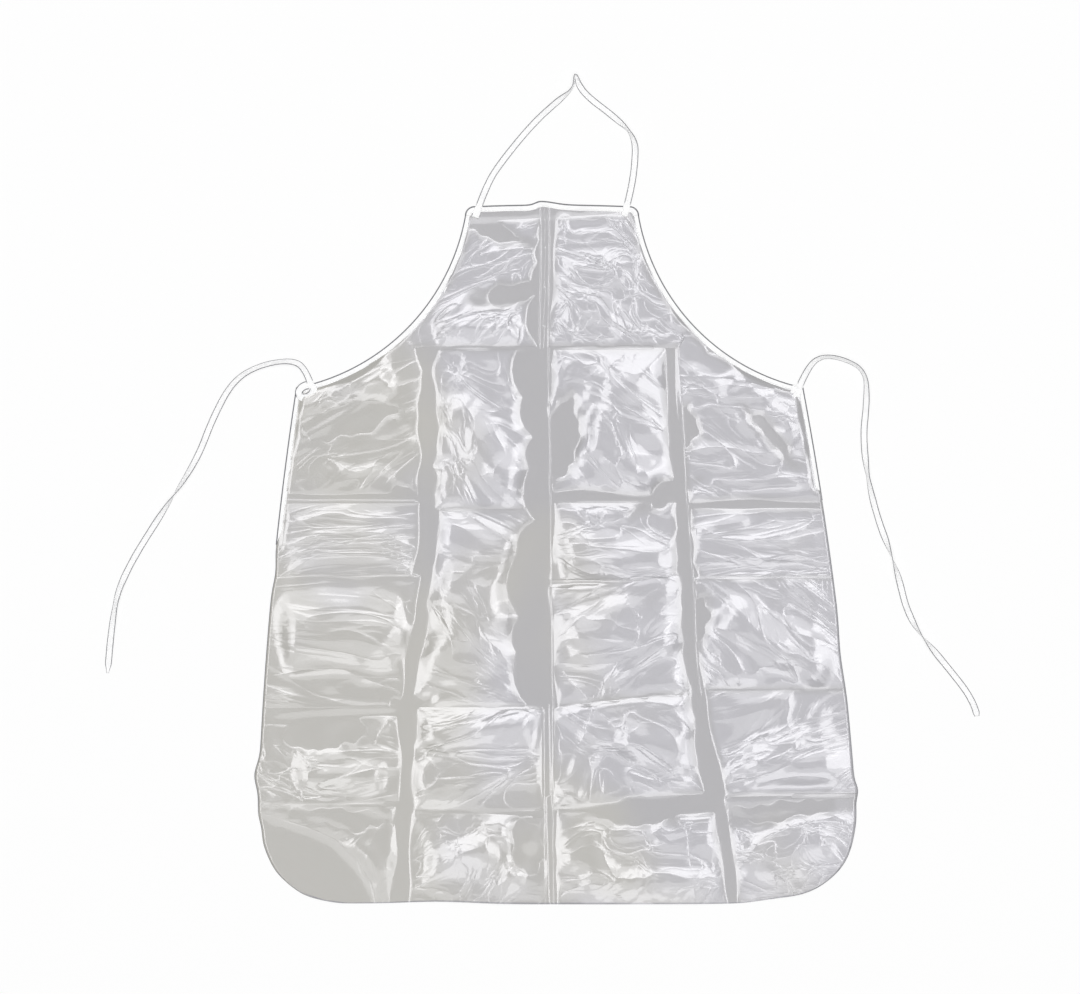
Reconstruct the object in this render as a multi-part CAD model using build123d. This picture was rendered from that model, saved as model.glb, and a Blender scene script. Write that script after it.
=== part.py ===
from build123d import *

import math
import os

# Bib apron of clear grey plastic film with taped edges, a neck loop and two waist ties.
#
# It lies spread out on its back: +X to the wearer's left as seen, +Y towards the neck, +Z up.
# The pattern is drawn with X from the middle of the bib and Y from the bib's top edge, and the
# finished pieces are then moved so that the origin is under the middle of the whole apron.
# All sizes are millimetres.

# Materials
film_thickness = 0.3
tape_thickness = 0.4  # one layer of binding tape
strap_thickness = 0.8  # neck loop and ties: the same tape folded double and stitched
tape_width = 10.0  # neck loop and ties
binding_width = 8.5  # reach of each leaf of a binding, in from the cut edge
edge_gap = 0.2  # between the cut edge and the fold of its binding
joint_gap = 0.3  # between a sewn tape end and the free tape that turns beside it

# Bib
bib_width = 256.0
bib_crown = 3.0  # rise of the top edge at its middle
bib_corner_radius = 11.0

# Armholes and waist
armhole_depth = 271.0  # bib's top edge to the waist corners
armhole_radius = 320.0
waist_width = 760.0
waist_offset = -3.5  # the waist lies this far to one side of the bib's middle
waist_corner_radius = 5.0

# Skirt
body_length = 1043.0
hem_width = 908.0  # between the corners before they are rounded
hem_offset = 10.0
hem_crown = 3.0
hem_corner_radius = 135.0
side_bow = 14.0  # how far each side swells beyond the straight line

# Bindings down the two sides, from the waist corner
left_side_binding_length = 238.0
right_side_binding_length = 172.0
side_binding_point = 14.0  # length of the tapered end

# Neck loop: its legs are sewn on just inside the two corners of the bib
neck_inset = 18.0
left_neck_tail = 18.0  # sewn end below the binding
right_neck_tail = 6.0
left_leg = [(0, 0), (11, 33), (38, 73), (83, 127), (110, 155)]
neck_peak = (38, 192)
right_leg = [(-40, 146), (8, 112), (14, 58), (6, 14), (2, 0)]
neck_fold_radius = 7.0  # where the loop is folded over at its peak

# Waist ties: the first point of each is its exit at the armhole's edge, the others follow it
left_tie_inset = 22.0  # from the waist corner to the middle of the tie
left_tie_route = [
    (0, 0), (-7, 21), (-27, 36), (-75, 29), (-116, 6), (-146, -48), (-172, -117),
    (-224, -194), (-276, -277), (-298, -337), (-305, -434),
]
right_tie_inset = 7.0
right_tie_route = [
    (0, 0), (9, 23), (31, 45), (64, 43), (101, 24), (103, -22), (96, -84), (112, -181),
    (147, -272), (166, -352), (217, -413), (264, -472), (268, -495),
]

# Sewn ends of the ties
loop_length = 33.0  # left end, folded round into a flat loop
loop_width = 25.0
loop_angle = 32.0
eye_length = 13.0  # lens-shaped opening left in the folded loop
eye_width = 6.0
patch_length = 17.0  # right end, laid under itself
patch_width = 13.0
patch_angle = -16.0
patch_corner_radius = 2.0
loop_place = (-7, -15)  # middle of the loop and of the patch, from the exits of their ties
patch_place = (-6, -12)

# Heights, from the surface the apron lies on
film_bottom = tape_thickness
film_top = film_bottom + film_thickness
binding_top = film_top + tape_thickness
strap_top = binding_top + strap_thickness
wrap = edge_gap + tape_thickness  # how far a binding stands out from the cut edge
waist_y = -armhole_depth
binding_end = waist_y - binding_width  # where armhole and side bindings meet
limp_bend = 0.45  # share of the shorter run that a bend in a tape takes up


def waist_corner(side: int) -> Vector:
    """Corner between armhole and side, side being -1 on the left and 1 on the right."""
    return Vector(waist_offset + side * waist_width / 2, waist_y)


def hem_corner(side: int) -> Vector:
    """Corner between side and hem, before it is rounded."""
    return Vector(hem_offset + side * hem_width / 2, -body_length)


def bib_corner(side: int) -> Vector:
    """Corner between the bib's top edge and an armhole."""
    return Vector(side * bib_width / 2, 0)


def armhole_edge(side: int) -> Edge:
    """One armhole, a single hollow arc from the bib down to the waist corner."""
    return RadiusArc(bib_corner(side), waist_corner(side), -side * armhole_radius).edge()


def side_edge(side: int) -> Edge:
    """One side of the skirt, swelling gently outwards from waist to hem."""
    return SagittaArc(waist_corner(side), hem_corner(side), side * side_bow).edge()


def bib_edge() -> Edge:
    """Top edge of the bib, crowned at its middle."""
    return ThreePointArc(bib_corner(-1), (0, bib_crown), bib_corner(1)).edge()


def hem_edge() -> Edge:
    """Hem, hanging lowest at its middle."""
    lowest = (hem_offset, -body_length - hem_crown)
    return ThreePointArc(hem_corner(1), lowest, hem_corner(-1)).edge()


def common(*plans: Sketch) -> Sketch:
    """What several flat outlines share."""
    shared = plans[0]
    for plan in plans[1:]:
        shared = Sketch() + (shared & plan)
    return shared


def disc(edge: Edge, grow: float) -> Sketch:
    """Whole disc that an edge of the pattern is an arc of, with its radius grown."""
    return Pos(*edge.arc_center) * Circle(edge.radius + grow)


def film_outline(grow: float) -> Sketch:
    """Flat cut of the film, or a line that runs a set distance outside (inside, if negative) it."""
    plan = common(*(disc(edge, grow) for edge in (bib_edge(), hem_edge(), side_edge(-1), side_edge(1))))
    for side in (-1, 1):
        plan -= disc(armhole_edge(side), -grow)
    for corner, radius in (
        (bib_corner, bib_corner_radius),
        (waist_corner, waist_corner_radius),
        (hem_corner, hem_corner_radius),
    ):
        if radius + grow <= 0:
            continue
        for side in (-1, 1):
            vertex = plan.vertices().sort_by_distance(corner(side))[0]
            plan = fillet(vertex, radius + grow)
    return plan


def box_region(x0: float, x1: float, y0: float, y1: float) -> Sketch:
    """Rectangle between two X and two Y values, used to pick out one stretch of an edge."""
    return Pos((x0 + x1) / 2, (y0 + y1) / 2) * Rectangle(x1 - x0, y1 - y0)


outline = film_outline(0)
fold_outline = film_outline(wrap)
slot_outline = film_outline(edge_gap)
edge_strip = fold_outline - film_outline(-binding_width)


def folded_binding(region: Sketch) -> Part:
    """Tape folded over the film's edge within a region: two leaves joined by the fold."""
    solid = extrude(common(edge_strip, region), binding_top)
    slot = Pos(0, 0, film_bottom) * extrude(slot_outline, film_thickness)
    return solid - slot


def side_region(side: int, length: float) -> Sketch:
    """Stretch of the side edge that is bound, from the armhole binding to a slanted end."""
    edge = side_edge(side)
    share = length / edge.length
    tip = edge @ share
    along = edge % share
    inward = along.rotate(Axis.Z, -side * 90)
    reach = 2 * binding_width
    corners = (
        tip - inward * reach,
        tip - inward * wrap,
        tip + inward * binding_width - along * side_binding_point,
        tip + inward * reach - along * side_binding_point,
        tip + inward * reach - along * length,
        tip - inward * reach - along * length,
    )
    stretch = make_face(Polyline(*corners, close=True))
    return common(stretch, box_region(-hem_width, hem_width, -body_length, binding_end))


def lengthened(points: list[Vector], before: float, after: float) -> list[Vector]:
    """The same route with its first and last runs carried on by the sewn-on lengths."""
    first = points[0] - (points[1] - points[0]).normalized() * before
    last = points[-1] + (points[-1] - points[-2]).normalized() * after
    return [first, *points[1:-1], last]


def bend_radii(points: list[Vector], name: str) -> list[float]:
    """Radius of each bend of a tape, as large as its two runs allow; prints them."""
    radii = []
    for before, corner, after in zip(points, points[1:], points[2:]):
        run = min((corner - before).length, (after - corner).length)
        turn = math.radians((corner - before).get_angle(after - corner))
        radii.append(limp_bend * run / math.tan(turn / 2))
    print(name, "bend radii, mm:", ", ".join(f"{radius:.0f}" for radius in radii))
    return radii


def flat_tape(points: list[Vector], radii: list[float], name: str) -> Sketch:
    """Flat tape seen from above, along straight runs joined by tangent arcs."""
    path = FilletPolyline(*points, radius=radii)
    tape = Sketch() + trace(path, tape_width)
    print(f"{name}: {path.length:.0f} mm long, area {tape.area:.0f} of "
          f"{path.length * tape_width:.0f} mm2")
    return tape


def on_film(plan: Sketch, bindings: list[Part]) -> Part:
    """Sewn tape end: it rests on the film and steps up over the bindings it crosses."""
    return Pos(0, 0, film_top) * extrude(plan, strap_top - film_top) - bindings


def tie_exit(side: int, inset: float) -> Vector:
    """Point of the armhole binding's outer edge where a waist tie leaves."""
    center = armhole_edge(side).arc_center
    x = waist_corner(side).X - side * inset
    drop = math.sqrt((armhole_radius - wrap) ** 2 - (x - center.X) ** 2)
    return Vector(x, center.Y - drop)


def tie_tape(side: int, inset: float, route: list[tuple], name: str) -> Sketch:
    """Whole flat tape of a waist tie, from inside the armhole's edge to its loose end."""
    start = tie_exit(side, inset)
    points = lengthened([start + Vector(*step) for step in route], binding_width, 0)
    return flat_tape(points, bend_radii(points, name), name)


def half(side: int) -> Sketch:
    """Everything on one side of the bib's middle."""
    return box_region(min(0, side * body_length), max(0, side * body_length), -body_length, body_length)


# Film and the bindings folded over its edges
film_panel = Pos(0, 0, film_bottom) * extrude(outline, film_thickness)
bib_binding = folded_binding(box_region(-bib_width, bib_width, -binding_width, bib_width))
armhole_region = box_region(-body_length, body_length, binding_end, -binding_width)
left_armhole_binding = folded_binding(common(armhole_region, half(-1)))
right_armhole_binding = folded_binding(common(armhole_region, half(1)))
left_side_binding = folded_binding(side_region(-1, left_side_binding_length))
right_side_binding = folded_binding(side_region(1, right_side_binding_length))

# Neck loop: one tape from sewn end to sewn end, parted where it turns at the bib's edge
neck_hinge_y = bib_crown + wrap
left_foot = bib_corner(-1) + Vector(neck_inset, 0)
right_foot = bib_corner(1) - Vector(neck_inset, 0)
neck_points = [
    *(left_foot + Vector(*step) for step in left_leg),
    Vector(*neck_peak),
    *(right_foot + Vector(*step) for step in right_leg),
]
neck_route = lengthened(
    neck_points, binding_width + left_neck_tail, binding_width + right_neck_tail
)
neck_radii = bend_radii(neck_route, "neck loop")
neck_radii[len(left_leg) - 1] = neck_fold_radius
neck_tape = flat_tape(neck_route, neck_radii, "neck loop")
beyond_bib = box_region(-bib_width, bib_width, neck_hinge_y + joint_gap, body_length)
on_bib = box_region(-bib_width, bib_width, -body_length, neck_hinge_y)
neck_strap = Pos(0, 0, binding_top) * extrude(common(neck_tape, beyond_bib), strap_thickness)
neck_strap_left_end = on_film(
    common(neck_tape, on_bib, half(-1)), [bib_binding, left_armhole_binding]
)
neck_strap_right_end = on_film(
    common(neck_tape, on_bib, half(1)), [bib_binding, right_armhole_binding]
)

# Waist ties: the loose tape of each, then the end that is sewn on at the waist corner
clear_of_apron = film_outline(wrap + joint_gap)
left_tape = tie_tape(-1, left_tie_inset, left_tie_route, "left tie")
right_tape = tie_tape(1, right_tie_inset, right_tie_route, "right tie")
left_tie = extrude(left_tape - clear_of_apron, strap_thickness)
right_tie = extrude(right_tape - clear_of_apron, strap_thickness)

loop_middle = tie_exit(-1, left_tie_inset) + Vector(*loop_place)
loop_frame = Plane(loop_middle, x_dir=Vector(1, 0).rotate(Axis.Z, loop_angle))
eye_radius = (eye_length**2 + eye_width**2) / (4 * eye_width)
eye_shift = eye_radius - eye_width / 2
eye = common(Pos(0, eye_shift) * Circle(eye_radius), Pos(0, -eye_shift) * Circle(eye_radius))
folded_loop = loop_frame * Ellipse(loop_length / 2, loop_width / 2)
left_tie_end = on_film(
    common(folded_loop + left_tape, fold_outline) - loop_frame * eye,
    [left_armhole_binding, left_side_binding],
)

patch_middle = tie_exit(1, right_tie_inset) + Vector(*patch_place)
patch_frame = Plane(patch_middle, x_dir=Vector(1, 0).rotate(Axis.Z, patch_angle))
patch = patch_frame * RectangleRounded(patch_length, patch_width, patch_corner_radius)
right_tie_end = on_film(
    common(patch + right_tape, fold_outline), [right_armhole_binding, right_side_binding]
)

pieces = {
    "film_panel": film_panel,
    "bib_binding": bib_binding,
    "left_armhole_binding": left_armhole_binding,
    "right_armhole_binding": right_armhole_binding,
    "left_side_binding": left_side_binding,
    "right_side_binding": right_side_binding,
    "neck_strap": neck_strap,
    "neck_strap_left_end": neck_strap_left_end,
    "neck_strap_right_end": neck_strap_right_end,
    "left_tie": left_tie,
    "left_tie_end": left_tie_end,
    "right_tie": right_tie,
    "right_tie_end": right_tie_end,
}
loose_tapes = ("left_tie", "right_tie")

# The origin goes under the middle of the apron and its neck loop, the loose ties left aside
boxes = [piece.bounding_box() for name, piece in pieces.items() if name not in loose_tapes]
middle_x = (min(box.min.X for box in boxes) + max(box.max.X for box in boxes)) / 2
middle_y = (min(box.min.Y for box in boxes) + max(box.max.Y for box in boxes)) / 2
to_origin = Pos(-middle_x, -middle_y, 0)

os.makedirs("parts", exist_ok=True)
for name, piece in pieces.items():
    export_step(to_origin * piece, f"parts/{name}.step")
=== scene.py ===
"""Looks of a bib apron of clear grey PVC film, laid out flat with its neck loop and waist ties.

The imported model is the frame: pieces are placed from its nodes, in metres. The film's pattern is
drawn in millimetres, with X from the middle of the bib and Y from the bib's top edge.
"""
import logging
import math
from collections.abc import Callable
from dataclasses import dataclass, field
from enum import Enum
from functools import partial
from typing import ClassVar

import bpy
import numpy as np
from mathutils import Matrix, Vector


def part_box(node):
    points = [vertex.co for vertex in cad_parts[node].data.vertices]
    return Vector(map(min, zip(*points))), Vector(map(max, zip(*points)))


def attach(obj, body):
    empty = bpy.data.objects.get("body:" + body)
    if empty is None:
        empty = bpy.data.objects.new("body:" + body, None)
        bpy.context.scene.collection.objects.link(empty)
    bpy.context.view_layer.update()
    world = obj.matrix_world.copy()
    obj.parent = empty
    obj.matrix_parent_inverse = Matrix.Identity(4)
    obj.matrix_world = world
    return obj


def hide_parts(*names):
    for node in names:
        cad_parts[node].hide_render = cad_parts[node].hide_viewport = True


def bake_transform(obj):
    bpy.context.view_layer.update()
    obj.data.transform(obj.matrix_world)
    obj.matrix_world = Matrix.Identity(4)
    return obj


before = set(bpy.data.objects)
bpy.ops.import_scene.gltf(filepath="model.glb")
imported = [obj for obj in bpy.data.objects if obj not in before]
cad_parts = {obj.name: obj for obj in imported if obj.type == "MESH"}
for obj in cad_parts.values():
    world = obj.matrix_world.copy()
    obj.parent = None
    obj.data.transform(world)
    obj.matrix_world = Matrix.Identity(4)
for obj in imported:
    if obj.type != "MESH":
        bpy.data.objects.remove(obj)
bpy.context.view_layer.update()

MM = 0.001
BINDING_HALF = 9.4              # mm, from the middle of the flat binding tape to its selvedge
STRAP_HALF = 5.0                # mm, the same for the narrow tape of neck loop and ties
FAR = 1e3                       # mm, further than anything on the apron
WHITE = (1.0, 1.0, 1.0, 1.0)
SMOOTH = {"interpolation_type": "SMOOTHSTEP"}  # a Map Range node that eases in and out
log = logging.getLogger("apron")

Array = np.ndarray
Point = tuple[float, float]
Line = tuple[Point, ...]
Box = tuple[float, float, float, float]
Node = bpy.types.Node
Socket = bpy.types.NodeSocket
Material = bpy.types.Material
Piece = bpy.types.Object
Adder = Callable[..., Node]


# ---- Small helpers


def linear(colour: str) -> tuple[float, float, float, float]:
    """Turn an sRGB hex colour into the linear colour that a shader reads.

    Args:
        colour: six hex digits after a hash sign.

    Returns:
        Linear red, green and blue, and an alpha of 1.
    """
    channels = (int(colour[i:i + 2], 16) / 255 for i in (1, 3, 5))
    return (*(c / 12.92 if c <= 0.04045 else ((c + 0.055) / 1.055) ** 2.4 for c in channels), 1.0)


def smoothstep(low: float, high: float, value: Array) -> Array:
    """Zero below low, one above high, and an S-curve, 3t^2 - 2t^3, between them."""
    t = np.clip((value - low) / (high - low), 0.0, 1.0)
    return t * t * (3.0 - 2.0 * t)


def lattice_noise(x: Array, y: Array, seed: int) -> Array:
    """Gradient noise, about -0.7 to 0.7: random slopes on a unit lattice, eased together.

    Args:
        x, y: place on the lattice, in cells.
        seed: picks the slopes.

    Returns:
        The noise at each point.
    """
    angles = np.random.default_rng(seed).uniform(0.0, 2.0 * np.pi, (256, 256))
    ix, iy = np.floor(x).astype(int), np.floor(y).astype(int)
    fx, fy = x - ix, y - iy
    ease_x, ease_y = (t * t * t * (t * (6.0 * t - 15.0) + 10.0) for t in (fx, fy))

    def corner(dx: int, dy: int) -> Array:
        """Height that one lattice corner's slope gives."""
        angle = angles[(ix + dx) % 256, (iy + dy) % 256]
        return np.cos(angle) * (fx - dx) + np.sin(angle) * (fy - dy)

    low = corner(0, 0) * (1 - ease_x) + corner(1, 0) * ease_x
    high = corner(0, 1) * (1 - ease_x) + corner(1, 1) * ease_x
    return low * (1 - ease_y) + high * ease_y


def line_noise(place: Array, row: float, seed: int) -> Array:
    """Lattice noise along one row of its lattice."""
    return lattice_noise(place, np.full_like(place, row), seed)


def turned(x: Array, y: Array, angle: float) -> tuple[Array, Array]:
    """Coordinates of points turned anticlockwise about the origin, by degrees."""
    turn = math.radians(angle)
    return x * math.cos(turn) - y * math.sin(turn), x * math.sin(turn) + y * math.cos(turn)


def running_length(line: Array) -> Array:
    """Length along a line, from its start to each of its points."""
    steps = np.linalg.norm(np.diff(line, axis=0), axis=1)
    return np.concatenate([[0.0], np.cumsum(steps)])


def read_at(places: Array, lengths: Array, values: Array) -> Array:
    """Rows of values that are known at some lengths, worked out at other places between them."""
    return np.stack([np.interp(places, lengths, column) for column in values.T], -1)


def even_line(line: Array, step: float, rounding: float = 0.5) -> Array:
    """The same line with its points at even steps along it.

    Args:
        line: points of the line, one a row.
        step: about how far apart the new points are.
        rounding: 0.5 takes the nearest whole number of steps, and 0 the whole number below.

    Returns:
        The new points.
    """
    lengths = running_length(line)
    places = np.linspace(0, lengths[-1], int(lengths[-1] / step + rounding) + 1)
    return read_at(places, lengths, line)


def grid_faces(rows: int, columns: int, closed: bool = False) -> Array:
    """Quads of a grid whose points are numbered row by row.

    Args:
        rows: rows of points.
        columns: points in each row.
        closed: whether the last point of a row joins its first.

    Returns:
        One row of four point numbers for each face.
    """
    across = columns if closed else columns - 1
    row, column = np.meshgrid(np.arange(rows - 1), np.arange(across), indexing="ij")
    after = (column + 1) % columns
    corners = (row * columns + column, row * columns + after,
               (row + 1) * columns + after, (row + 1) * columns + column)
    return np.stack(corners, -1).reshape(-1, 4)


def make_piece(name: str, points: Array, faces: list, *finishes: Material) -> Piece:
    """Make one mesh piece, smooth shaded, at the frame's origin.

    Args:
        name: name of the piece.
        points: its points, in metres.
        faces: point numbers of each face.
        finishes: its materials, in slot order.

    Returns:
        The new object.
    """
    mesh = bpy.data.meshes.new(name)
    mesh.from_pydata(points.tolist(), [], faces)
    mesh.shade_smooth()
    for finish in finishes:
        mesh.materials.append(finish)
    piece = bpy.data.objects.new(name, mesh)
    bpy.context.scene.collection.objects.link(piece)
    log.info("%s: %d faces", name, len(mesh.polygons))
    return piece


def set_attribute(piece: Piece, name: str, values: Array) -> None:
    """Store three numbers for each point of a piece, for its material to read."""
    attribute = piece.data.attributes.new(name, "FLOAT_VECTOR", "POINT")
    attribute.data.foreach_set("vector", np.asarray(values, np.float32).ravel())


def add_node(tree: bpy.types.NodeTree, kind: str, inputs: dict | list = (), **settings: object) -> Node:
    """Add a shader node with its settings, input values and links.

    Args:
        tree: the node tree.
        kind: the node's type, without its ShaderNode prefix.
        inputs: for each input's name or number, or for the first inputs in turn, its value, the
            socket that feeds it, or a node whose first output feeds it.
        settings: the node's own properties.

    Returns:
        The new node.
    """
    node = tree.nodes.new("ShaderNode" + kind)
    for key, value in settings.items():
        setattr(node, key, value)
    for key, value in inputs.items() if isinstance(inputs, dict) else enumerate(inputs):
        source = value.outputs[0] if isinstance(value, Node) else value
        if isinstance(source, Socket):
            tree.links.new(source, node.inputs[key])
        else:
            node.inputs[key].default_value = source
    return node


def empty_tree(owner: Material | bpy.types.World) -> Adder:
    """Empty the node tree of a material or world.

    Args:
        owner: the material or world.

    Returns:
        What adds a node to its tree: add_node without its first argument.
    """
    owner.use_nodes = True
    owner.node_tree.nodes.clear()
    return partial(add_node, owner.node_tree)


def background_ray(add: Adder) -> Node:
    """Tell the rays that see the background from those that light the object.

    Args:
        add: adds a node.

    Returns:
        A node that gives 1 to a ray from the camera, off a glossy face or through a clear one.
    """
    path = add("LightPath")
    seen = add("Math", [path.outputs["Is Camera Ray"], path.outputs["Is Glossy Ray"]],
               operation="MAXIMUM")
    return add("Math", [seen, path.outputs["Is Transmission Ray"]], operation="MAXIMUM")


# ---- Finishes


class Bands(Enum):
    """Ways that the bands of a wave texture run, and their radians in one unit along an axis."""

    X = 20.0
    DIAGONAL = 10.0

    def scale(self, period: float) -> float:
        """Scale at which the bands repeat every period along an axis, in mm."""
        return 2 * math.pi / (self.value * period * MM)


@dataclass(frozen=True)
class GlossyPvcFilm:
    """Calendered clear PVC film with a grey tint: mirror-smooth, so every dent catches the lamps.

    It reads three attributes of the film. "cut" holds the distances from a free edge, inside a
    pillow and from a sharp line, in metres. "flow" holds the places along and across the grain, in
    drapes, and the signed distance from a sharp line. "crest" holds the two fields of crests and
    how ridged the panel is.
    """

    colour: str = "#9B9A9B"     # where it clings to the paper
    lifted: str = "#A6A5A9"     # painted reflection: lighter where air lies under the film, standing in for light that the air gap reflects
    warm: str = "#A5A39C"       # older, yellower patches
    sheen: str = "#F7F6FF"      # a slight cool cast in its reflections
    rim: str = "#6E6E73"        # painted shade: a dark line along the cut edge, where clear plastic turns the light away
    painted_rim_width: float = 2.0      # mm
    tint_size: float = 260.0    # mm, from one tinted patch to the next
    roughness: float = 0.27     # of the plasticised skin, under its smooth surface
    ior: float = 1.72
    crinkle: float = 26.0       # mm, size of the finest creases
    crinkle_depth: float = 0.16  # mm
    wisps: float = 1.9          # fine drapes to one large one
    wisp_depth: float = 1.6     # mm
    peel: float = 1.6           # mm, orange peel left by the calender rolls
    peel_depth: float = 0.004   # mm
    step: float = 0.35          # mm, sharp climb at a pillow's edge
    step_width: float = 2.4     # mm
    line_depth: float = 0.24    # mm, sharp line beside a fold
    line_width: float = 1.5     # mm
    crease_depth: float = 0.70  # mm, sharp creases on the drapes
    crease_width: float = 0.05  # of a drape

    def make(self) -> Material:
        """Build the material: a tint, and six bumps, each on top of the one before.

        Returns:
            The new material.
        """
        material = bpy.data.materials.new("glossy_pvc_film")
        add = empty_tree(material)
        place = add("TexCoord").outputs["Object"]
        marks = {name: add("Attribute", attribute_name=name).outputs["Vector"]
                 for name in ("cut", "flow", "crest")}
        cut, flow, crest = (add("SeparateXYZ", [mark]) for mark in marks.values())
        crinkles = add("TexNoise", {"Vector": place, "Scale": 1 / (self.crinkle * MM), "Detail": 3.0,
                                    "Roughness": 0.55, "Distortion": 0.6})
        peel = add("TexNoise", {"Vector": place, "Scale": 1 / (self.peel * MM), "Detail": 1.0})
        skin: dict[str, Node] = {}
        for depth, height in (
            (self.step, self.pillow_edge(add, cut)),
            (self.line_depth, self.fold_lines(add, cut, flow)),
            (self.crease_depth, self.creases(add, cut, crest)),
            (self.wisp_depth, self.fine_drapes(add, cut, marks["flow"])),
            (self.crinkle_depth, crinkles.outputs["Fac"]),
            (self.peel_depth, peel.outputs["Fac"]),
        ):
            skin["Normal"] = add("Bump", {"Strength": 1.0, "Distance": depth * MM, "Height": height,
                                          **skin})
        shader = add("BsdfPrincipled", {
            "Base Color": self.tint(add, place, cut), "Roughness": self.roughness, "IOR": self.ior,
            "Specular Tint": linear(self.sheen),
            "Coat Weight": 1.0, "Coat Roughness": 0.05, "Coat IOR": 1.6,
            "Normal": skin["Normal"], "Coat Normal": skin["Normal"],
        })
        add("OutputMaterial", {"Surface": shader})
        return material

    def tint(self, add: Adder, place: Socket, cut: Node) -> Socket:
        """Grey with a painted reflection that lightens it in the pillows, warmer in patches, and painted
        shade along the cut edge.

        The warm patches are noise, and there are more of them to the left and towards the hem.

        Args:
            add: adds a node.
            place: object coordinates, in metres.
            cut: parts of the attribute "cut".

        Returns:
            The colour.
        """
        # Painted reflection: the grey lightens inside a pillow, where the film stands off the paper.
        painted_sheen_share = add("MapRange", [cut.outputs["Y"], 0.0, 0.012], **SMOOTH)
        body = add("Mix", {0: painted_sheen_share, 6: linear(self.colour), 7: linear(self.lifted)}, data_type="RGBA")
        noise = add("TexNoise", {"Vector": place, "Scale": 1 / (self.tint_size * MM), "Detail": 2.0})
        parts = add("SeparateXYZ", [place])
        lean = add("MapRange", [parts.outputs["X"], 0.25, -0.35, -0.25, 0.25])
        low = add("MapRange", [parts.outputs["Y"], 0.3, -0.55, -0.2, 0.2])
        both = add("Math", [lean, low], operation="ADD")
        patch = add("Math", [noise.outputs["Fac"], both], operation="ADD")
        share = add("MapRange", [patch, 0.42, 0.72], **SMOOTH)
        aged = add("Mix", {0: share, 6: body.outputs[2], 7: linear(self.warm)}, data_type="RGBA")
        # Painted shade: a dark line along the cut edge.
        rim = add("MapRange", [cut.outputs["X"], self.painted_rim_width * MM, 0.0], **SMOOTH)
        return add("Mix", {0: rim, 6: aged.outputs[2], 7: linear(self.rim)}, data_type="RGBA").outputs[2]

    def pillow_edge(self, add: Adder, cut: Node) -> Node:
        """Sharp climb at a pillow's edge: 1 - exp(-d / width) at a distance d inside it.

        Args:
            add: adds a node.
            cut: parts of the attribute "cut".

        Returns:
            A node that gives the height, from 0 to 1.
        """
        depth = add("Math", [cut.outputs["Y"], 0.0], operation="MAXIMUM")
        power = add("Math", [depth, -1 / (self.step_width * MM)], operation="MULTIPLY")
        left = add("Math", [power], operation="EXPONENT")
        return add("Math", [1.0, left], operation="SUBTRACT")

    def fold_lines(self, add: Adder, cut: Node, flow: Node) -> Node:
        """Sharp lines beside the folds and along the ridges: 1 / (1 + (d / width)^2) at a distance d.

        The signed distance gives the line its shape, and the plain one ends it 9 mm away.

        Args:
            add: adds a node.
            cut: parts of the attribute "cut".
            flow: parts of the attribute "flow".

        Returns:
            A node that gives the height, from 0 to 1.
        """
        widths = add("Math", [flow.outputs["Z"], self.line_width * MM], operation="DIVIDE")
        square = add("Math", [widths, widths, 1.0], operation="MULTIPLY_ADD")
        line = add("Math", [1.0, square], operation="DIVIDE")
        near = add("MapRange", [cut.outputs["Z"], 0.004, 0.009, 1.0, 0.0])
        return add("Math", [line, near], operation="MULTIPLY")

    def creases(self, add: Adder, cut: Node, crest: Node) -> Node:
        """Sharp creases where the crest fields cross zero: exp(-|field| / width), inside the pillows.

        Args:
            add: adds a node.
            cut: parts of the attribute "cut".
            crest: parts of the attribute "crest".

        Returns:
            A node that gives the height.
        """
        share = add("MapRange", [cut.outputs["Y"], 0.002, 0.012], **SMOOTH)
        sharp = []
        for axis in ("X", "Y"):
            size = add("Math", [crest.outputs[axis]], operation="ABSOLUTE")
            power = add("Math", [size, -1 / self.crease_width], operation="MULTIPLY")
            sharp.append(add("Math", [power], operation="EXPONENT"))
        both = add("Math", [sharp[1], 0.35, sharp[0]], operation="MULTIPLY_ADD")
        most = add("Math", [crest.outputs["Z"], share], operation="MULTIPLY")
        return add("Math", [both, most], operation="MULTIPLY")

    def fine_drapes(self, add: Adder, cut: Node, flow: Socket) -> Node:
        """Fine sharp drapes that flow with the large ones, inside the pillows: -|noise - 1/2|.

        Args:
            add: adds a node.
            cut: parts of the attribute "cut".
            flow: the attribute "flow", whole.

        Returns:
            A node that gives the height.
        """
        noise = add("TexNoise", {"Vector": flow, "Scale": self.wisps, "Detail": 1.5, "Roughness": 0.4,
                                 "Distortion": 0.5})
        middle = add("Math", [noise.outputs["Fac"], 0.5], operation="SUBTRACT")
        ridge = add("Math", [middle], operation="ABSOLUTE")
        share = add("MapRange", [cut.outputs["Y"], 0.002, 0.014, 0.0, -1.0], **SMOOTH)
        patches = add("TexNoise", {"Vector": flow, "Scale": 0.6, "Detail": 1.0})
        some = add("MapRange", [patches.outputs["Fac"], 0.36, 0.60, 0.2, 1.0], **SMOOTH)
        drape = add("Math", [ridge, share], operation="MULTIPLY")
        return add("Math", [drape, some], operation="MULTIPLY")


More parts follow.
